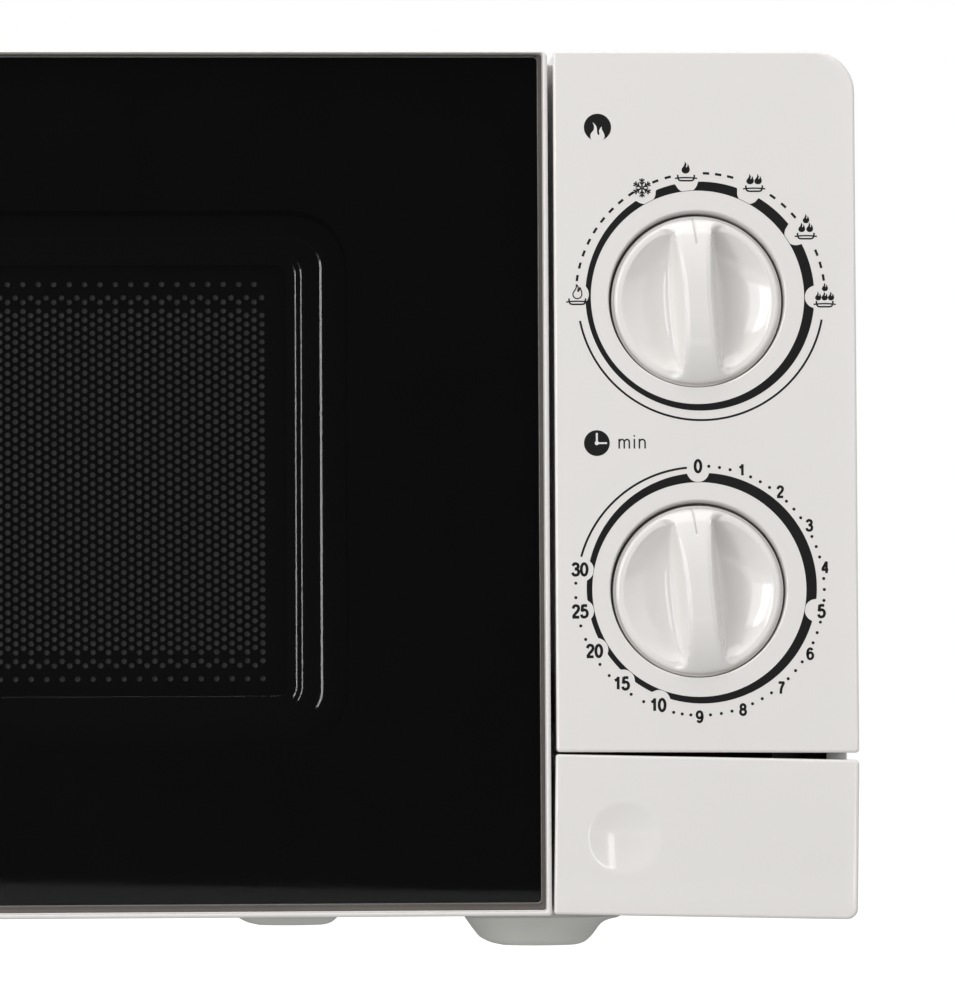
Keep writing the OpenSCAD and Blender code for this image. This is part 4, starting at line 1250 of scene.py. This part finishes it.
def feet():
    """Flared feet with a rounded tread, leaning a little to one side."""
    # Height, and reach to the right and to the left
    rows = [
        (0.25, 7.0, 9.4), (0.0, 8.0, 10.2), (0.05, 9.9, 12.0), (0.3, 11.1, 13.3), (0.7, 12.2, 15.0),
        (1.2, 13.0, 16.3), (1.8, 13.7, 17.5), (2.4, 14.3, 18.5), (3.2, 15.0, 19.3), (4.3, 15.8, 20.1),
        (5.3, 16.5, 20.9), (6.2, 17.3, 21.5), (6.9, 18.3, 22.0), (7.4, 19.6, 22.4), (7.7, 20.8, 22.6),
        (8.0, 22.2, 22.8), (8.4, 23.0, 23.0), (9.95, 23.0, 23.0),
    ]
    steps = 96
    for node in ("foot_front_left", "foot_front_right", "foot_rear_left", "foot_rear_right"):
        low, high = box(node)
        middle = (low + high) / 2
        shape = Shape()
        loops = []
        for height, right, left in rows:
            ring = []
            for k in range(steps):
                a = 2 * math.pi * k / steps
                reach = right + (left - right) * (1 - math.cos(a)) / 2
                ring.append((middle.x + reach * math.cos(a), middle.y + reach * math.sin(a), height))
            loops.append(shape.loop(ring))
        shape.skin(loops)
        shape.cap(loops)
        piece(node.replace("foot_", "moulded_foot_"), shape, "cabinet", "foot_plastic", [node], sharp=40)


def cross_screw(shape, place, start, towards, head_r=3.5, head_h=2.0):
    """A pan-head screw head with a cross recess. Place gives points; start is where the head begins."""
    dome = [(head_r, start), (head_r, start + towards * head_h * 0.45)]
    for a in (30, 60, 90):
        inwards = 1.4 * (1 - math.cos(math.radians(a)))
        along = head_h * (0.45 + 0.55 * math.sin(math.radians(a)))
        dome.append((head_r - inwards, start + towards * along))
    steps = 48
    loops = [
        shape.loop([place(r, 2 * math.pi * k / steps, along) for k in range(steps)]) for r, along in dome
    ]
    shape.skin(loops)
    shape.fill(loops[0])
    arm, half, deep = 1.5, 0.32, 1.1
    corner_angle = math.atan2(half, arm)
    cross = []
    for k in range(4):
        base = k * math.pi / 2
        reach = math.hypot(arm, half)
        cross += [(reach, base - corner_angle), (reach, base + corner_angle)]
        cross += [(half * math.sqrt(2), base + math.pi / 4)]
    top = start + towards * head_h
    rim = shape.loop([place(r, a, top) for r, a in cross])
    floor = shape.loop([place(r * 0.75, a, top - towards * deep) for r, a in cross])
    shape.fill(loops[-1], rim)
    shape.skin([rim, floor])
    shape.fill(floor)


def screws():
    """Cross-head screws in place of the plain CAD ones."""
    plate_back = box("back_plate")[1].y
    base_under = box("base_plate")[0].z
    head_front = box("panel_screws")[0].y
    shape = Shape()
    for x, z in [(x, z) for x in (-206, 206) for z in (24, 130, 240)] + [(-70, 250), (60, 250)]:
        cross_screw(shape, about_y(x, z), plate_back, 1)
    for x in (-205, 204):
        for y in (-90, 148):
            cross_screw(shape, about_z(x, y), base_under, -1, 3.0, 1.8)
    piece("cross_head_screws", shape, "cabinet", "galvanised_steel", ["casing_screws"])
    shape = Shape()
    for x in (142, 208):
        for z in (66, 225, 245):
            cross_screw(shape, about_y(x, z), head_front, 1, 3.0, 2.0)
    piece("panel_cross_screws", shape, "cabinet", "galvanised_steel", ["panel_screws"])


def glass_tray():
    """The turntable's glass tray: a flat dish with a fire-polished rim and three lugs underneath."""
    low, high = box("glass_tray")
    middle = (low + high) / 2
    r = (high.x - low.x) / 2
    bottom = low.z + 4
    top = high.z
    profile = [
        (0, bottom), (r - 17.5, bottom), (r - 16, bottom + 0.3), (r - 14.5, bottom + 1.2),
        (r - 4, bottom + 8.6), (r - 2.4, bottom + 9.8), (r - 0.9, bottom + 10.4), (r - 0.1, bottom + 11.2),
        (r, top - 0.9), (r - 0.4, top - 0.2), (r - 1.4, top), (r - 2.6, top - 0.25), (r - 3.4, top - 1.0),
        (r - 5, top - 2.1), (r - 15.5, bottom + 6.2),
        (r - 17, bottom + 5.3), (r - 18.5, bottom + 5), (0, bottom + 5),
    ]
    shape = Shape()
    shape.spin(about_z(middle.x, middle.y), profile, 160)
    for k in range(3):
        a = math.radians(150 + 120 * k)
        made = bmesh.ops.create_cube(shape.mesh, size=1.0)["verts"]
        for v in made:
            along, aside, up = 16 + v.co.x * 8, v.co.y * 5, bottom - 1.9 + v.co.z * 4.1
            v.co = Vector((
                middle.x + along * math.cos(a) - aside * math.sin(a),
                middle.y + along * math.sin(a) + aside * math.cos(a), up)) * MM
        edges = list({e for v in made for e in v.link_edges})
        bmesh.ops.bevel(shape.mesh, geom=edges, offset=0.8 * MM, segments=3, affect="EDGES", profile=0.5)
    piece("turntable_glass", shape, "tray", "tray_glass", ["glass_tray"])


# ---- Stage, light and camera ----


FLOOR_GLOW = 1.15
FLOOR_LIGHT = 0.55
WORLD_FILL = 0.42
WORLD_MIRRORED = 0.025


def combined(tree, operation, first, second):
    """The result of a sum on two values or outputs."""
    return add_node(tree, "Math", {0: first, 1: second}, operation=operation).outputs["Value"]


def stage():
    """A plain pale floor and backdrop light."""
    data = bpy.data.meshes.new("floor")
    corners = [(-6.0, -7.05), (-1.3, -2.34), (0.16, -0.88), (0.9, -0.3), (6.0, 0.2), (6.0, 7.0), (-6.0, 7.0)]
    data.from_pydata([(x, y, 0) for x, y in corners], [], [tuple(range(len(corners)))])
    white = new_material("floor", (0.02, 0.02, 0.02), 0.9, Specular_IOR_Level=0.0)
    tree = white.node_tree
    tree.nodes["Principled BSDF"].inputs["Emission Color"].default_value = (1, 1, 1, 1)
    path = add_node(tree, "LightPath").outputs
    inputs = {"Value": path["Is Diffuse Ray"], "To Min": FLOOR_GLOW, "To Max": FLOOR_LIGHT}
    glow = add_node(tree, "MapRange", inputs).outputs["Result"]
    # Mirrored surroundings: the floor close to the oven is dark
    place = add_node(tree, "TexCoord").outputs["Object"]
    depth = add_node(tree, "SeparateXYZ", {"Vector": place}).outputs["Y"]
    inputs = {"Value": depth, "From Min": -0.70, "From Max": -0.60, "To Min": 0.0, "To Max": 0.98}
    near = add_node(tree, "MapRange", inputs).outputs["Result"]
    hidden = combined(tree, "MULTIPLY", near, path["Is Glossy Ray"])
    shown = combined(tree, "SUBTRACT", 1.0, hidden)
    feed(white, combined(tree, "MULTIPLY", glow, shown), "Emission Strength")
    data.materials.append(white)
    placed("floor", data)

    world = bpy.data.worlds.new("studio")
    bpy.context.scene.world = world
    world.use_nodes = True
    tree = world.node_tree
    background = tree.nodes["Background"]
    background.inputs["Color"].default_value = (1, 1, 1, 1)
    path = add_node(tree, "LightPath").outputs
    place = add_node(tree, "TexCoord").outputs["Generated"]
    depth = add_node(tree, "SeparateXYZ", {"Vector": place}).outputs["Y"]
    # Mirrored surroundings: dark behind the camera, white beside and behind the oven
    inputs = {"Value": depth, "From Min": -0.1, "From Max": 0.5, "To Min": WORLD_MIRRORED, "To Max": 1.0}
    around = add_node(tree, "MapRange", inputs, interpolation_type="SMOOTHSTEP").outputs["Result"]
    inputs = {"Value": path["Is Glossy Ray"], "To Min": WORLD_FILL, "To Max": around}
    level = add_node(tree, "MapRange", inputs).outputs["Result"]
    seen = combined(tree, "MAXIMUM", level, path["Is Camera Ray"])
    tree.links.new(seen, background.inputs["Strength"])


def softbox(name, place, aim, width, height, power):
    """A rectangular soft light, placed and aimed in metres."""
    data = bpy.data.lights.new(name, "AREA")
    data.shape = "RECTANGLE"
    data.size = width
    data.size_y = height
    data.energy = power
    made = placed(name, data)
    made.location = place
    made.rotation_mode = "QUATERNION"
    made.rotation_quaternion = (Vector(aim) - Vector(place)).to_track_quat("-Z", "Y")


def lights():
    middle = (0.1, -0.15, 0.13)
    softbox("left_window", (-1.35, -1.45, 0.45), middle, 1.3, 1.0, 12.5)
    softbox("left_strip", (-1.34, -1.44, 0.5), middle, 0.32, 1.1, 7.2)
    softbox("right_window", (1.6, -1.15, 0.45), middle, 0.9, 1.1, 3.0)
    softbox("near_strip", (0.56, -2.36, 0.35), middle, 0.12, 0.9, 1.6)
    softbox("overhead", (0.1, -0.6, 1.9), (0.0, 0.0, 0.1), 1.8, 1.4, 22)


def camera():
    """The camera of the reference view, a little below the oven's middle and left of the controls."""
    place, target, roll = Vector((33.3, -1862, 56.2)) * MM, Vector((110.78, -162, 128.89)) * MM, -0.005
    data = bpy.data.cameras.new("camera")
    data.sensor_fit = "AUTO"
    data.sensor_width = 36
    data.lens = 214.3
    data.clip_start = 0.05
    data.clip_end = 30
    made = placed("camera", data)
    forward = (target - place).normalized()
    right = forward.cross(Vector((0, 0, 1))).normalized()
    up = right.cross(forward)
    across = right * math.cos(roll) + up * math.sin(roll)
    above = up * math.cos(roll) - right * math.sin(roll)
    turn = Matrix((across, above, -forward)).transposed().to_4x4()
    turn.translation = place
    made.matrix_world = turn
    bpy.context.scene.camera = made


camera()
stage()
lights()
bpy.context.scene.view_settings.view_transform = "Standard"

dress_cad_nodes()
cut_hinge_notches(door_frame())
door_glass()
glass_mask()
door_pan()
window_screen()
control_panel()
knob("moulded_power_knob", POWER_DIAL, POWER_LEAN, "power_control", "power_knob")
knob("moulded_timer_knob", TIMER_DIAL, TIMER_LEAN, "timer_control", "timer_knob")
power_print()
timer_print()
disc_marks()
release_button()
springs()
feet()
screws()
glass_tray()

bpy.context.view_layer.update()
